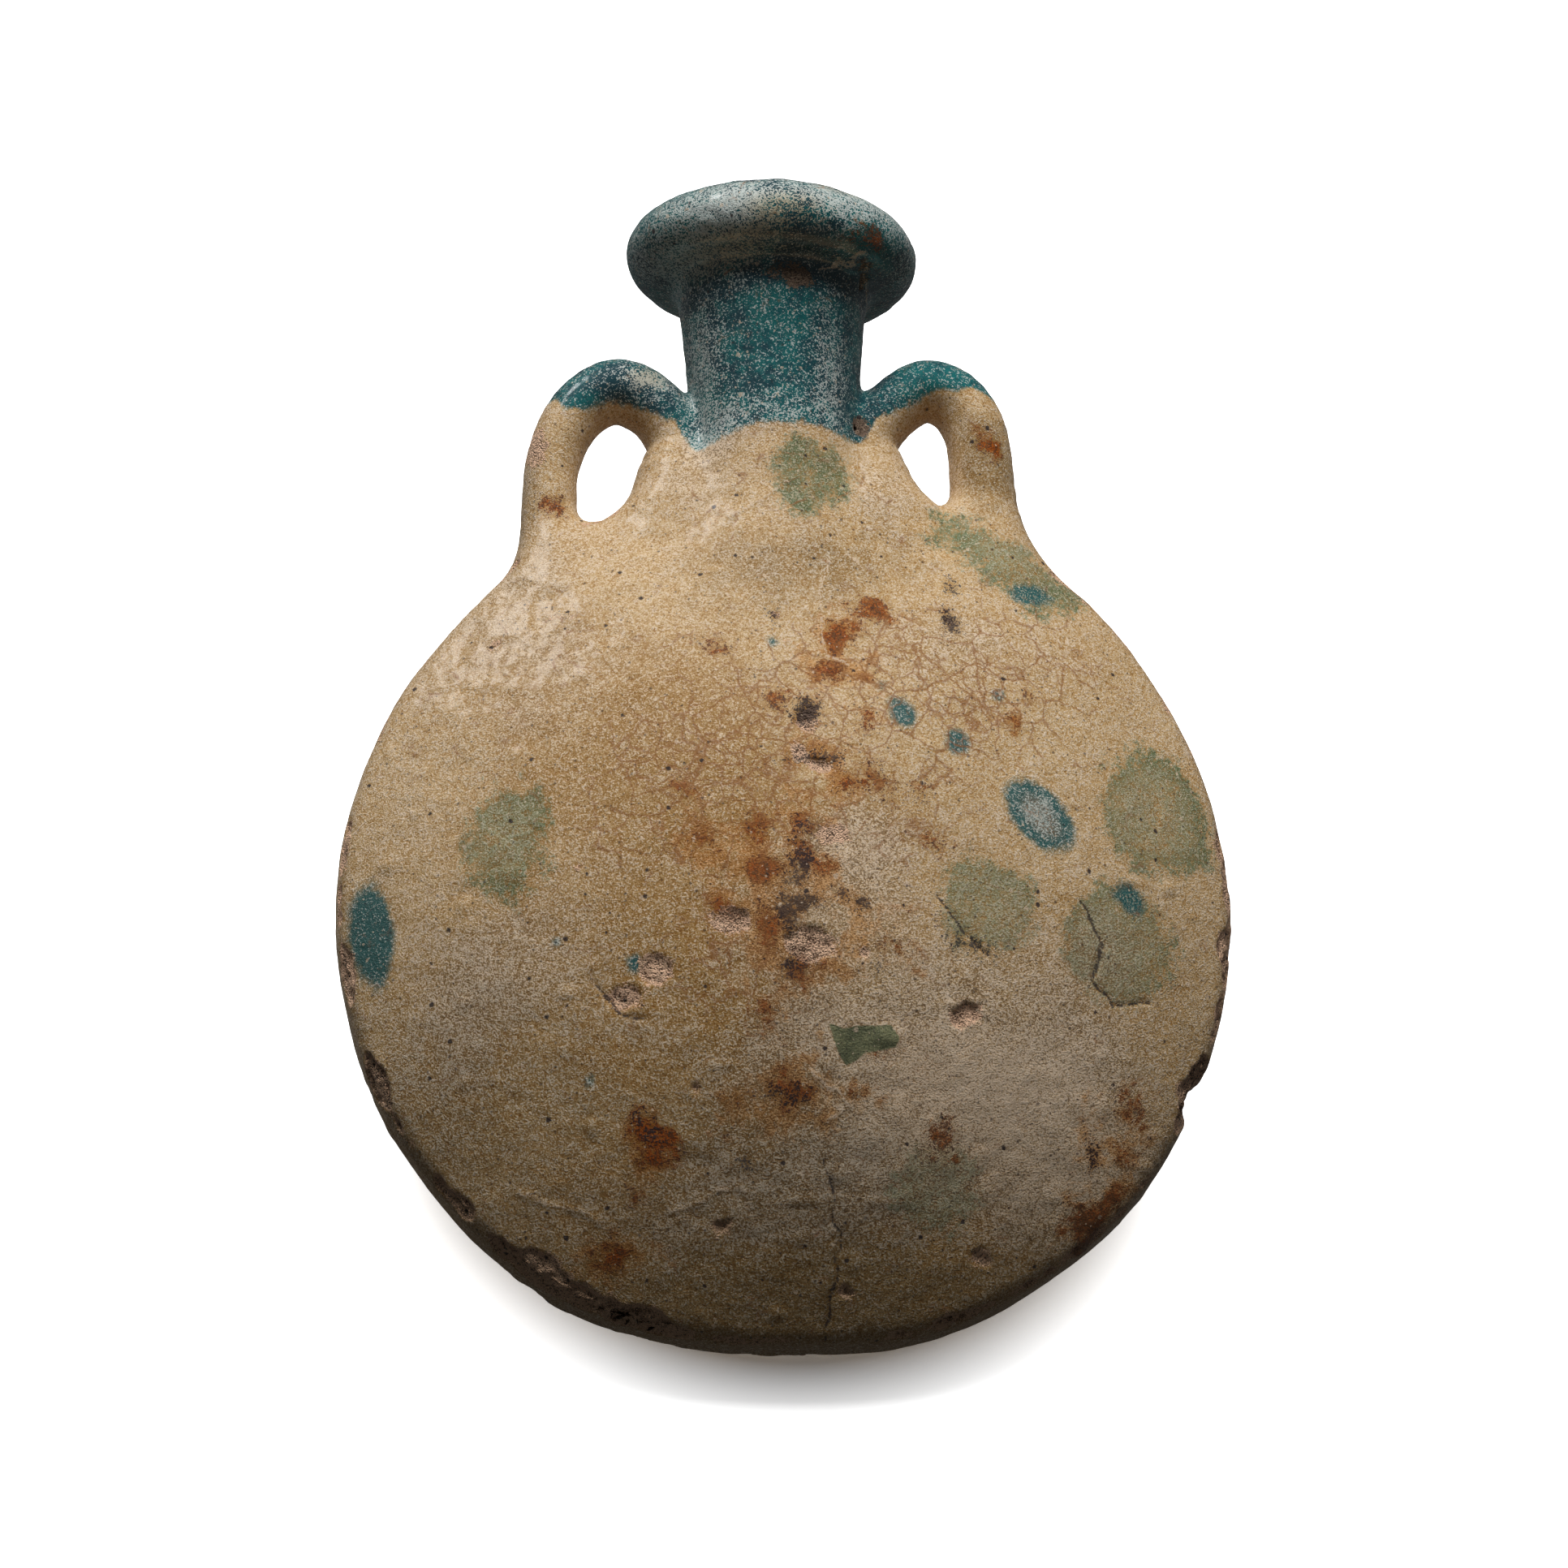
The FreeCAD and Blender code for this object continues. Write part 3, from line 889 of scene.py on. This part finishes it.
# Pale pinkish frost, also the colour of the pale specks that are partly painted glints
PINKISH_FROST_AND_GLINT = (0.70, 0.545, 0.395)
GREY_FROST = (0.58, 0.475, 0.36)
GREEN_GLAZE = (0.12, 0.16, 0.08)
PALE_GREEN = (0.33, 0.305, 0.18)
TURQUOISE_GLAZE = (0.012, 0.105, 0.11)
TEAL_GLAZE = (0.008, 0.135, 0.135)
TEAL_DARK = (0.011, 0.052, 0.066)
# Pale frost on the turquoise glaze, also the colour of the painted highlight down the neck and the painted
# light under the lip
TEAL_FROST_AND_SHEEN = (0.62, 0.66, 0.62)
YELLOWISH_FROST = (0.50, 0.42, 0.27)
RUST = (0.46, 0.14, 0.024)
DARK_RUST = (0.07, 0.022, 0.010)
# Near black, for stains, for the painted shade in pits, for specks and for open cracks
DARK_STAIN_AND_SHADE = (0.04, 0.03, 0.03)
CRACKLE_BROWN = (0.27, 0.11, 0.035)
PINK_CLAY = (0.92, 0.60, 0.40)
DARK_CLAY = (0.20, 0.115, 0.075)
GREY_CLAY = (0.16, 0.12, 0.09)
FLAKE_COLOURS = ((0.12, 0.13, 0.072), (0.25, 0.25, 0.135))
RUSTY_TINT = (0.88, 0.62, 0.36)
WHITE = (1.0, 1.0, 1.0)
# Red, green and blue: the share of light that the glaze lets through, and how fast it darkens with depth
GLAZE_DEPTH = ((0.62, 0.8), (0.55, 1.0), (0.42, 1.15))
GREEN_LIFT = (1.45, 1.75, 2.4)
# Grains that roughen every edge: size in mm, detail and roughness
GRAINS = {
    "tiny": (0.42, 1.0, 0.85),
    "fine": (1.6, 3.0, 0.85),
    "middle": (6.5, 4.0, 0.7),
    "wide": (22.0, 2.0, 0.6),
}
CRUMB = 0.34
WIDE_CRACKLE, CLOSE_CRACKLE = 8.5, 4.2
# Specks, dark ones and pale ones that are partly painted glints: how far apart, the share of places that have
# one, their size, and how dark they are
SPECKS = ((0.9, 0.26, 0.20, 0.62), (1.5, 0.28, 0.17, 0.65), (4.2, 0.40, 0.11, 0.94))
RELIEF_DEPTH = 0.42


def glaze_material(name):
    material, g = new_material(name)
    at = g.place_mm()
    teal, turquoise, green = g.painted("glaze_colours")
    rust, dark, clay = g.painted("stains")
    frost_and_light, soil_and_shade, yellow = g.painted("wear")
    crackle, ridge, line = g.painted("lines")
    pale, warm, blue = g.painted("tints")
    flake, rusty, _ = g.painted("flakes")
    grain = {size: g.noise(at, *settings) for size, settings in GRAINS.items()}
    grain["grit"] = g.maths("SUBTRACT", g.random_of(g.cells(g.bent(at, 0.6, 2.0, 0.6), CRUMB))[0], 0.5)

    def moved(value, *pairs, **grains):
        """The value pushed up and down by grains of several sizes, and by other values."""
        for by, amount in pairs + tuple((grain[size], amount) for size, amount in grains.items()):
            value = g.maths("MULTIPLY_ADD", by, amount, value)
        return value

    def part(value, low, high, **grains):
        """0 to 1 where a value with a ragged edge goes from low to high."""
        return g.smooth(moved(value, **grains), low, high)

    def layered(colour, *layers):
        """The colour with others laid over it, each with how much of it there is."""
        for share, over in layers:
            colour = g.mix(share, colour, over)
        return colour

    # The clear glaze
    yellow_part = part(yellow, 0, 1, wide=1.2, middle=0.7)
    # The glaze turns darker and browner towards the bottom and in the soiled areas, and on the right handle's
    # leg as a painted shade
    soil_and_shade_part = part(soil_and_shade, 0.1, 1, middle=1)
    colour = layered(PALE_GLAZE, (yellow_part, YELLOW_GLAZE), (soil_and_shade_part, SOILED_AND_SHADED_GLAZE))
    depth = moved(1, middle=-1.2, fine=-2.4, tiny=-3.8, grit=-1.3)
    shade = [g.maths("POWER", share, g.times(depth, power)) for share, power in GLAZE_DEPTH]
    shade = g.node("CombineColor", dict(enumerate(shade))).outputs[0]
    colour = g.tinted(colour, shade)
    colour = g.tinted(colour, tuple(share**-power for share, power in GLAZE_DEPTH))

    # Green and turquoise glaze spots
    green_part = part(green, -1.2, 2, fine=10, middle=12, tiny=6)
    mottled = moved(0.78, middle=2.4, fine=2.2, tiny=0.8, grit=0.3)
    green_part = g.maths("MINIMUM", 1, g.times(green_part, mottled))
    green_fade = g.times(part(pale, -3, 3, fine=10, middle=16), 0.8)
    green_colour = g.tinted(g.mix(green_fade, GREEN_GLAZE, PALE_GREEN), shade)
    green_colour = g.tinted(green_colour, GREEN_LIFT)
    turquoise_part = part(turquoise, -1, 1.1, fine=3, middle=1.6)
    colour = layered(colour, (green_part, green_colour), (g.times(turquoise_part, 0.93), TURQUOISE_GLAZE))

    # The turquoise of the neck, the lip and the tops of the handles
    teal_part = part(teal, -0.6, 1.2, fine=3.6, middle=4.4)
    # Darker teal in places; along the crease under the lip it is a painted shade
    teal_depth = g.smooth(moved(moved(grain["wide"], middle=1.6, fine=0.8), (blue, -0.5)), -0.28, 0.22)
    colour = g.mix(teal_part, colour, g.mix(teal_depth, TEAL_DARK, TEAL_GLAZE))

    # Rust
    rust_soft = g.smooth(moved(moved(rusty, middle=4, fine=2.4), (rust, 0.12)), 0, 0.9)
    rust_near = g.maths("MINIMUM", moved(0.78, (rust, 0.25), middle=2.5), 1.6)
    rust_part = g.times(part(rust_near, 0.98, 1.2, fine=3.2, tiny=2, grit=0.7), 0.95)
    rust_depth = part(g.times(rust, 0.09), -0.25, 0.7, fine=3.2, tiny=2.4, grit=0.9)
    rust_colour = g.mix(rust_depth, RUST, DARK_RUST)
    colour = g.mix(rust_part, colour, rust_colour)

    # Weathering: a broken, pale skin of fine grains with grime between them; on the lip's left underside,
    # down the neck and beside the left handle's root the same skin is painted light and painted highlights
    bare = g.maths("SUBTRACT", frost_and_light, g.times(teal_part, 0.13))
    cover = moved(bare, middle=0.9, fine=1.1)
    frosted_and_lit = moved(cover, tiny=3, grit=1.15)
    frost_and_light_part = g.smooth(frosted_and_lit, 0.42, 0.66)
    grime_part = g.times(g.smooth(frost_and_light, 0.2, 0.6), g.rest(g.smooth(frosted_and_lit, 0.08, 0.38)))
    grime_part = g.times(grime_part, g.rest(g.times(teal_part, 0.9), 0.9))
    frost_and_light_colour = layered(
        PINKISH_FROST_AND_GLINT,
        (soil_and_shade_part, GREY_FROST),
        (teal_part, TEAL_FROST_AND_SHEEN),
        (g.times(turquoise_part, 0.7), TEAL_FROST_AND_SHEEN),
        (warm, YELLOWISH_FROST),
        (g.times(green_part, 0.6), PALE_GREEN),
    )
    film = g.times(g.smooth(cover, 0.15, 0.85), 0.3)
    frost_and_light_amount = g.maths("MAXIMUM", g.times(film, g.rest(teal_part)), g.times(frost_and_light_part, 0.82))
    for kept_clear, share in ((rust_part, 0.9), (turquoise_part, 0.2)):
        frost_and_light_amount = g.times(frost_and_light_amount, g.rest(g.times(kept_clear, share)))
    colour = layered(colour, (grime_part, GRIMY_GLAZE), (frost_and_light_amount, frost_and_light_colour))
    colour = g.tinted(colour, g.mix(g.times(rust_soft, 0.9), WHITE, RUSTY_TINT))

    # Crackle lines, brown with dirt
    bent = g.bent(at, 6.0, 3.0, 5.0)
    wide_cells = g.cells(bent, WIDE_CRACKLE, "DISTANCE_TO_EDGE")["Distance"]
    close_cells = g.cells(bent, CLOSE_CRACKLE, "DISTANCE_TO_EDGE")["Distance"]
    wide_line = g.rest(g.smooth(wide_cells, 0, 0.05))
    close_line = g.rest(g.smooth(close_cells, 0, 0.075))
    halo = g.rest(g.smooth(close_cells, 0, 0.2))
    wide_patchy = part(crackle, 0.05, 0.7, middle=3, fine=1)
    close_patchy = part(crackle, 0.55, 1.3, wide=3, middle=3, fine=1.4)
    crackle_line = g.maths("MAXIMUM", g.times(wide_line, wide_patchy), g.times(close_line, close_patchy))
    for brown in (g.times(halo, g.times(close_patchy, 0.16)), g.times(crackle_line, 0.72)):
        colour = g.mix(brown, colour, CRACKLE_BROWN)

    # The whole green flake, and bare clay
    flake_colour = g.mix(part(grain["middle"], -0.15, 0.15, tiny=0.5), *FLAKE_COLOURS)
    clay_part = part(clay, -0.2, 0.2, fine=4, tiny=2, grit=0.4)
    clay_shade = part(grain["middle"], -0.46, 0.02, fine=2.4, tiny=1.8, grit=0.45)
    clay_colour = layered(
        g.mix(clay_shade, DARK_CLAY, PINK_CLAY),
        (g.times(soil_and_shade_part, 0.35), SOILED_AND_SHADED_GLAZE),
        (g.times(teal_part, 0.85), GREY_CLAY),
    )
    rusty_clay = g.times(clay_part, g.times(rust_part, 0.7))
    flake_part = part(flake, -0.1, 0.25, tiny=0.6)
    colour = layered(colour, (flake_part, flake_colour), (clay_part, clay_colour), (rusty_clay, rust_colour))

    # Dark stains, some of them painted shade in pits, specks, raised cracks and open cracks
    dark_part = part(dark, 0.1, 0.6, fine=10, tiny=6, middle=6, grit=2)
    colour = g.mix(g.times(dark_part, 0.86), colour, DARK_STAIN_AND_SHADE)
    for spacing, share, size, strength in SPECKS:
        cells = g.cells(at, spacing)
        pick = g.random_of(cells)
        reach = moved(g.maths("MULTIPLY_ADD", pick[1], size, size * 0.4), tiny=size * 2)
        near = g.smooth(g.rest(cells["Distance"], reach), -0.02, 0.04)
        dark_speck = g.times(near, g.maths("LESS_THAN", pick[0], share))
        # Pale specks: partly frost grains, partly painted glints
        pale_speck_and_glint = g.times(near, g.maths("GREATER_THAN", pick[0], 1 - share))
        colour = g.mix(g.times(dark_speck, strength), colour, DARK_STAIN_AND_SHADE)
        colour = g.mix(g.times(pale_speck_and_glint, 0.6), colour, PINKISH_FROST_AND_GLINT)
    ridge_part = g.times(part(ridge, 0.62, 0.85, fine=1.6, tiny=1), 0.7)
    line_part = g.times(part(line, 0.5, 0.85, fine=1.6, tiny=1), 0.85)
    colour = layered(colour, (ridge_part, PINKISH_FROST_AND_GLINT), (line_part, DARK_STAIN_AND_SHADE))

    # Gloss, and the fine relief
    dull = g.times(frost_and_light_part, g.rest(g.times(teal_part, 0.55), 0.8))
    dull = g.maths("MAXIMUM", dull, clay_part)
    dull = g.maths("MAXIMUM", dull, g.times(soil_and_shade_part, 0.8), clamp=True)
    roughness = g.maths("MULTIPLY_ADD", dull, 0.35, 0.42)
    gloss = g.times(g.maths("MULTIPLY_ADD", teal_part, 0.35, 0.5), g.rest(dull))
    height = moved(g.times(grain["fine"], 0.5), tiny=0.4, grit=0.03)
    height = moved(height, (frost_and_light_part, 0.05), (dark_speck, -0.1))
    for size, share in (("fine", 3.5), ("tiny", 2.5)):
        height = moved(height, (g.times(clay_part, grain[size]), share))
    bump = g.node("Bump", {"Strength": 1.0, "Distance": RELIEF_DEPTH * MM, "Height": height})
    shader = g.node(
        "BsdfPrincipled",
        {
            "Base Color": colour,
            "Roughness": roughness,
            "Coat Weight": gloss,
            "Coat Roughness": 0.16,
            "Normal": bump.outputs[0],
        },
    )
    g.node("OutputMaterial", {"Surface": shader.outputs[0]})
    return material


# ---- The pieces


def thin_out(points, quads, keep, size):
    """Merges the points that aren't kept into one for each cell of the given size."""
    cell = np.floor(points / size).astype(np.int64)
    key = (cell[:, 0] * 4096 + cell[:, 1]) * 4096 + cell[:, 2] + 2**40
    key[keep] = -np.arange(1, keep.sum() + 1)
    _, label = np.unique(key, return_inverse=True)
    label = label.ravel()
    count = np.bincount(label)
    merged = np.stack([np.bincount(label, points[:, k]) / count for k in range(3)], 1)
    quads = label[quads]
    same = quads == np.roll(quads, -1, 1)
    crossed = (quads[:, 0] == quads[:, 2]) | (quads[:, 1] == quads[:, 3])
    four = quads[~same.any(1) & ~crossed]
    three = quads[(same.sum(1) == 1) & ~crossed]
    three = np.array([[v for i, v in enumerate(q) if v != q[i - 1]] for q in three.tolist()]).reshape(-1, 3)
    return merged, label, four.tolist() + three.tolist()


def share_on_grid(name_list):
    """The field of each part at the grid points in or near the clay."""
    shares = {name: np.full(grid_shape, 9.0, np.float32) for name in name_list}
    for part, places in batches(np.argwhere(values < CELL * 2)):
        for name, share in part_fields(places).items():
            shares[name][part] = share
    return shares


def add_object(name, data):
    item = bpy.data.objects.new(name, data)
    bpy.context.scene.collection.objects.link(item)
    return item


def add_piece(name, share, slot):
    """One clay part: its own share of the surface, running on a little under its neighbours."""
    field = np.maximum(values + SKIRT_SLOPE * np.maximum(share, 0), share - SKIRT)
    p_cells, _, p_points, p_quads = surface_net(field)
    whole = cell_number[tuple(p_cells.T)]
    reach = np.where(whole >= 0, point_shares[name][whole], 9.0)
    outer = reach < SKIRT - 0.2
    sink = SKIRT_SLOPE * np.maximum(reach[outer], 0)[:, None]
    p_points[outer] = points[whole[outer]] - normals[whole[outer]] * sink
    p_normals = vertex_normals(p_points, p_quads)
    p_normals[outer] = normals[whole[outer]]
    merged, label, faces = thin_out(p_points, p_quads, outer & ~inside_view[whole], CELL * INNER_CELLS)
    mesh_normals = np.zeros_like(merged)
    mesh_normals[label] = p_normals
    mesh = bpy.data.meshes.new(name + "_glazed")
    mesh.from_pydata((merged * MM).tolist(), [], faces)
    mesh.validate()
    known = whole >= 0
    for group, data in painted.items():
        layer = mesh.attributes.new(group, "FLOAT_VECTOR", "POINT")
        spread = np.zeros((len(merged), 3), np.float32)
        spread[label[known]] = data[whole[known]]
        layer.data.foreach_set("vector", spread.ravel())
    mesh.polygons.foreach_set("use_smooth", np.ones(len(mesh.polygons), bool))
    mesh.normals_split_custom_set_from_vertices(mesh_normals.tolist())
    piece = add_object(name + "_glazed", mesh)
    mesh.materials.append(GLAZES[slot])
    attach(piece, "root")
    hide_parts(name)
    print(name, len(merged), "points", sum(len(f) - 2 for f in faces), "triangles")


grid_shape = tuple(int(n) for n in np.ceil((GRID_HIGH - GRID_LOW) / CELL).astype(int) + 1)
values = sample(clay_field, grid_shape)
_, cell_number, points, quads = surface_net(values)
points = settle(points, quads, clay_field, 2)
normals = vertex_normals(points, quads)
point_shares = part_fields(points)
inside_view = form_field(points) < -0.6
painted, relief = paint(points)
relief[inside_view] = 0
points = points + normals * relief[:, None]
points[:, 2] = np.maximum(points[:, 2], 0.0)
normals = vertex_normals(points, quads)
print("whole form:", len(points), "points", len(quads), "quads")

GLAZES = {name: glaze_material(name) for name in ("body_glaze", "neck_glaze")}
NECK_PARTS = ("neck", "lip_ring", "neck_collar")
for part_name, grid_share in share_on_grid(point_shares).items():
    add_piece(part_name, grid_share, "neck_glaze" if part_name in NECK_PARTS else "body_glaze")

# ---- Camera, as the photograph was taken

PHOTO_SIZE = 1932
FOCAL_PIXELS = 6072.0
CAMERA_DISTANCE = 1100.0
CAMERA_AZIMUTH = math.radians(-5.0)
CAMERA_ELEVATION = math.radians(-18.5)
CAMERA_ROLL = math.radians(-1.2)
CAMERA_TARGET = Vector((0.0, 0.0, 128.5))
SENSOR = 36.0


def direction(azimuth, elevation):
    """Away from the flask; azimuth 0 is straight in front of it, negative is to the left."""
    across, ahead = math.sin(azimuth), -math.cos(azimuth)
    return Vector((across * math.cos(elevation), ahead * math.cos(elevation), math.sin(elevation)))


toward = direction(CAMERA_AZIMUTH, CAMERA_ELEVATION)
right = (-toward).cross(Vector((0, 0, 1))).normalized()
up = right.cross(-toward)
right, up = (
    math.cos(CAMERA_ROLL) * right + math.sin(CAMERA_ROLL) * up,
    -math.sin(CAMERA_ROLL) * right + math.cos(CAMERA_ROLL) * up,
)
camera_data = bpy.data.cameras.new("camera")
camera_data.sensor_width = SENSOR
camera_data.lens = FOCAL_PIXELS / PHOTO_SIZE * SENSOR
camera_data.clip_start = 0.05
camera = add_object("camera", camera_data)
camera.matrix_world = Matrix((right, up, toward)).transposed().to_4x4()
camera.location = (CAMERA_TARGET + toward * CAMERA_DISTANCE) * MM
bpy.context.scene.camera = camera

# ---- Floor and backdrop

BACKDROP_GAP = 12.5  # behind the flask's middle, at the floor
BACKDROP_SLOPE = 0.67  # how far it leans back for each millimetre up
STAGE_SIZE = 1500.0
STAGE_WHITE = (0.92, 0.92, 0.92)
STAGE_GLOW = 0.08  # brightness the stage has in its deepest shadow
FLOOR_DROP = 0.2
# The backdrop fades to plain white away from the flask's lower edge: middle (x, y, z), how much
# longer the fade is along each axis, and the distances where it starts and ends
BACKDROP_FADE = ((2.0, 0.0, 111.0), (1.0, 1e6, 1.29), 86.0, 99.5)
FLOOR_FADE = ((0.0, 40.0, 0.0), (1.0, 1.0, 1.0), 150.0, 420.0)


def stage_material(name, fade):
    """White, seen by the camera from its front only, so that it neither hides nor lights the flask."""
    material, g = new_material(name)
    facing = g.node("NewGeometry").outputs["Backfacing"]
    seen = g.times(g.node("LightPath").outputs["Is Camera Ray"], g.rest(facing))
    middle, stretch, start, end = fade
    offset = g.vector("DIVIDE", g.vector("SUBTRACT", g.place_mm(), middle), stretch)
    away = g.node("VectorMath", {0: offset}, operation="LENGTH").outputs["Value"]
    faded = g.maths("MULTIPLY_ADD", away, 1 / (end - start), -start / (end - start), clamp=True)
    strength = g.maths("MULTIPLY_ADD", faded, 1 - STAGE_GLOW, STAGE_GLOW)
    white = g.node("BsdfDiffuse", {"Color": STAGE_WHITE}).outputs[0]
    glow = g.node("Emission", {"Color": WHITE, "Strength": strength}).outputs[0]
    lit = g.node("AddShader", {0: white, 1: glow}).outputs[0]
    clear = g.node("BsdfTransparent").outputs[0]
    mixed = g.node("MixShader", {0: seen, 1: clear, 2: lit}).outputs[0]
    g.node("OutputMaterial", {"Surface": mixed})
    return material


def stage_sheet(name, corners, material):
    mesh = bpy.data.meshes.new(name)
    mesh.from_pydata([Vector(c) * MM for c in corners], [], [range(len(corners))])
    mesh.materials.append(material)
    sheet = add_object(name, mesh)


half, deep = STAGE_SIZE, STAGE_SIZE * BACKDROP_SLOPE
low_end = (BACKDROP_GAP - deep / 2, -half / 2)
high_end = (BACKDROP_GAP + deep, half)
backdrop_corners = ((-half, *low_end), (half, *low_end), (half, *high_end), (-half, *high_end))
stage_sheet("backdrop", backdrop_corners, stage_material("backdrop_white", BACKDROP_FADE))
floor_corners = [(x, y, -FLOOR_DROP) for x, y in ((-half, -half), (half, -half), (half, half), (-half, half))]
stage_sheet("floor", floor_corners, stage_material("floor_white", FLOOR_FADE))

# ---- Light and world

WORLD_FILL = 0.055
world = bpy.data.worlds.new("studio")
bpy.context.scene.world = world
world.use_nodes = True
studio = Graph(world.node_tree)
camera_ray = studio.node("LightPath").outputs["Is Camera Ray"]
fill = studio.node("Background", {"Color": WHITE, "Strength": WORLD_FILL}).outputs[0]
seen = studio.node("Background", {"Color": WHITE, "Strength": 1.0}).outputs[0]
mixed = studio.node("MixShader", {0: camera_ray, 1: fill, 2: seen}).outputs[0]
studio.node("OutputWorld", {"Surface": mixed})


LIGHTS_LOOK_AT = Vector((0, 0, 0.13))


def area_light(name, azimuth, elevation, distance, side, power, lights=True, mirrored=True):
    """A square soft light that looks at the flask, in degrees, metres and watts."""
    data = bpy.data.lights.new(name, "AREA")
    data.size = side
    data.energy = power
    light = add_object(name, data)
    away = direction(math.radians(azimuth), math.radians(elevation))
    light.location = LIGHTS_LOOK_AT + away * distance
    light.rotation_euler = (-away).to_track_quat("-Z", "Y").to_euler()
    light.visible_diffuse = lights
    light.visible_glossy = mirrored


area_light("overhead softbox", -1, 55, 1.7, 1.2, 40.0, mirrored=False)
area_light("back left softbox", -152, 25, 1.7, 1.2, 13.0, mirrored=False)
area_light("back right softbox", 152, 25, 1.7, 1.2, 13.0, mirrored=False)
area_light("upper left highlight", -60, 54, 1.5, 0.34, 3.0, lights=False)

bpy.context.scene.view_settings.view_transform = "Standard"
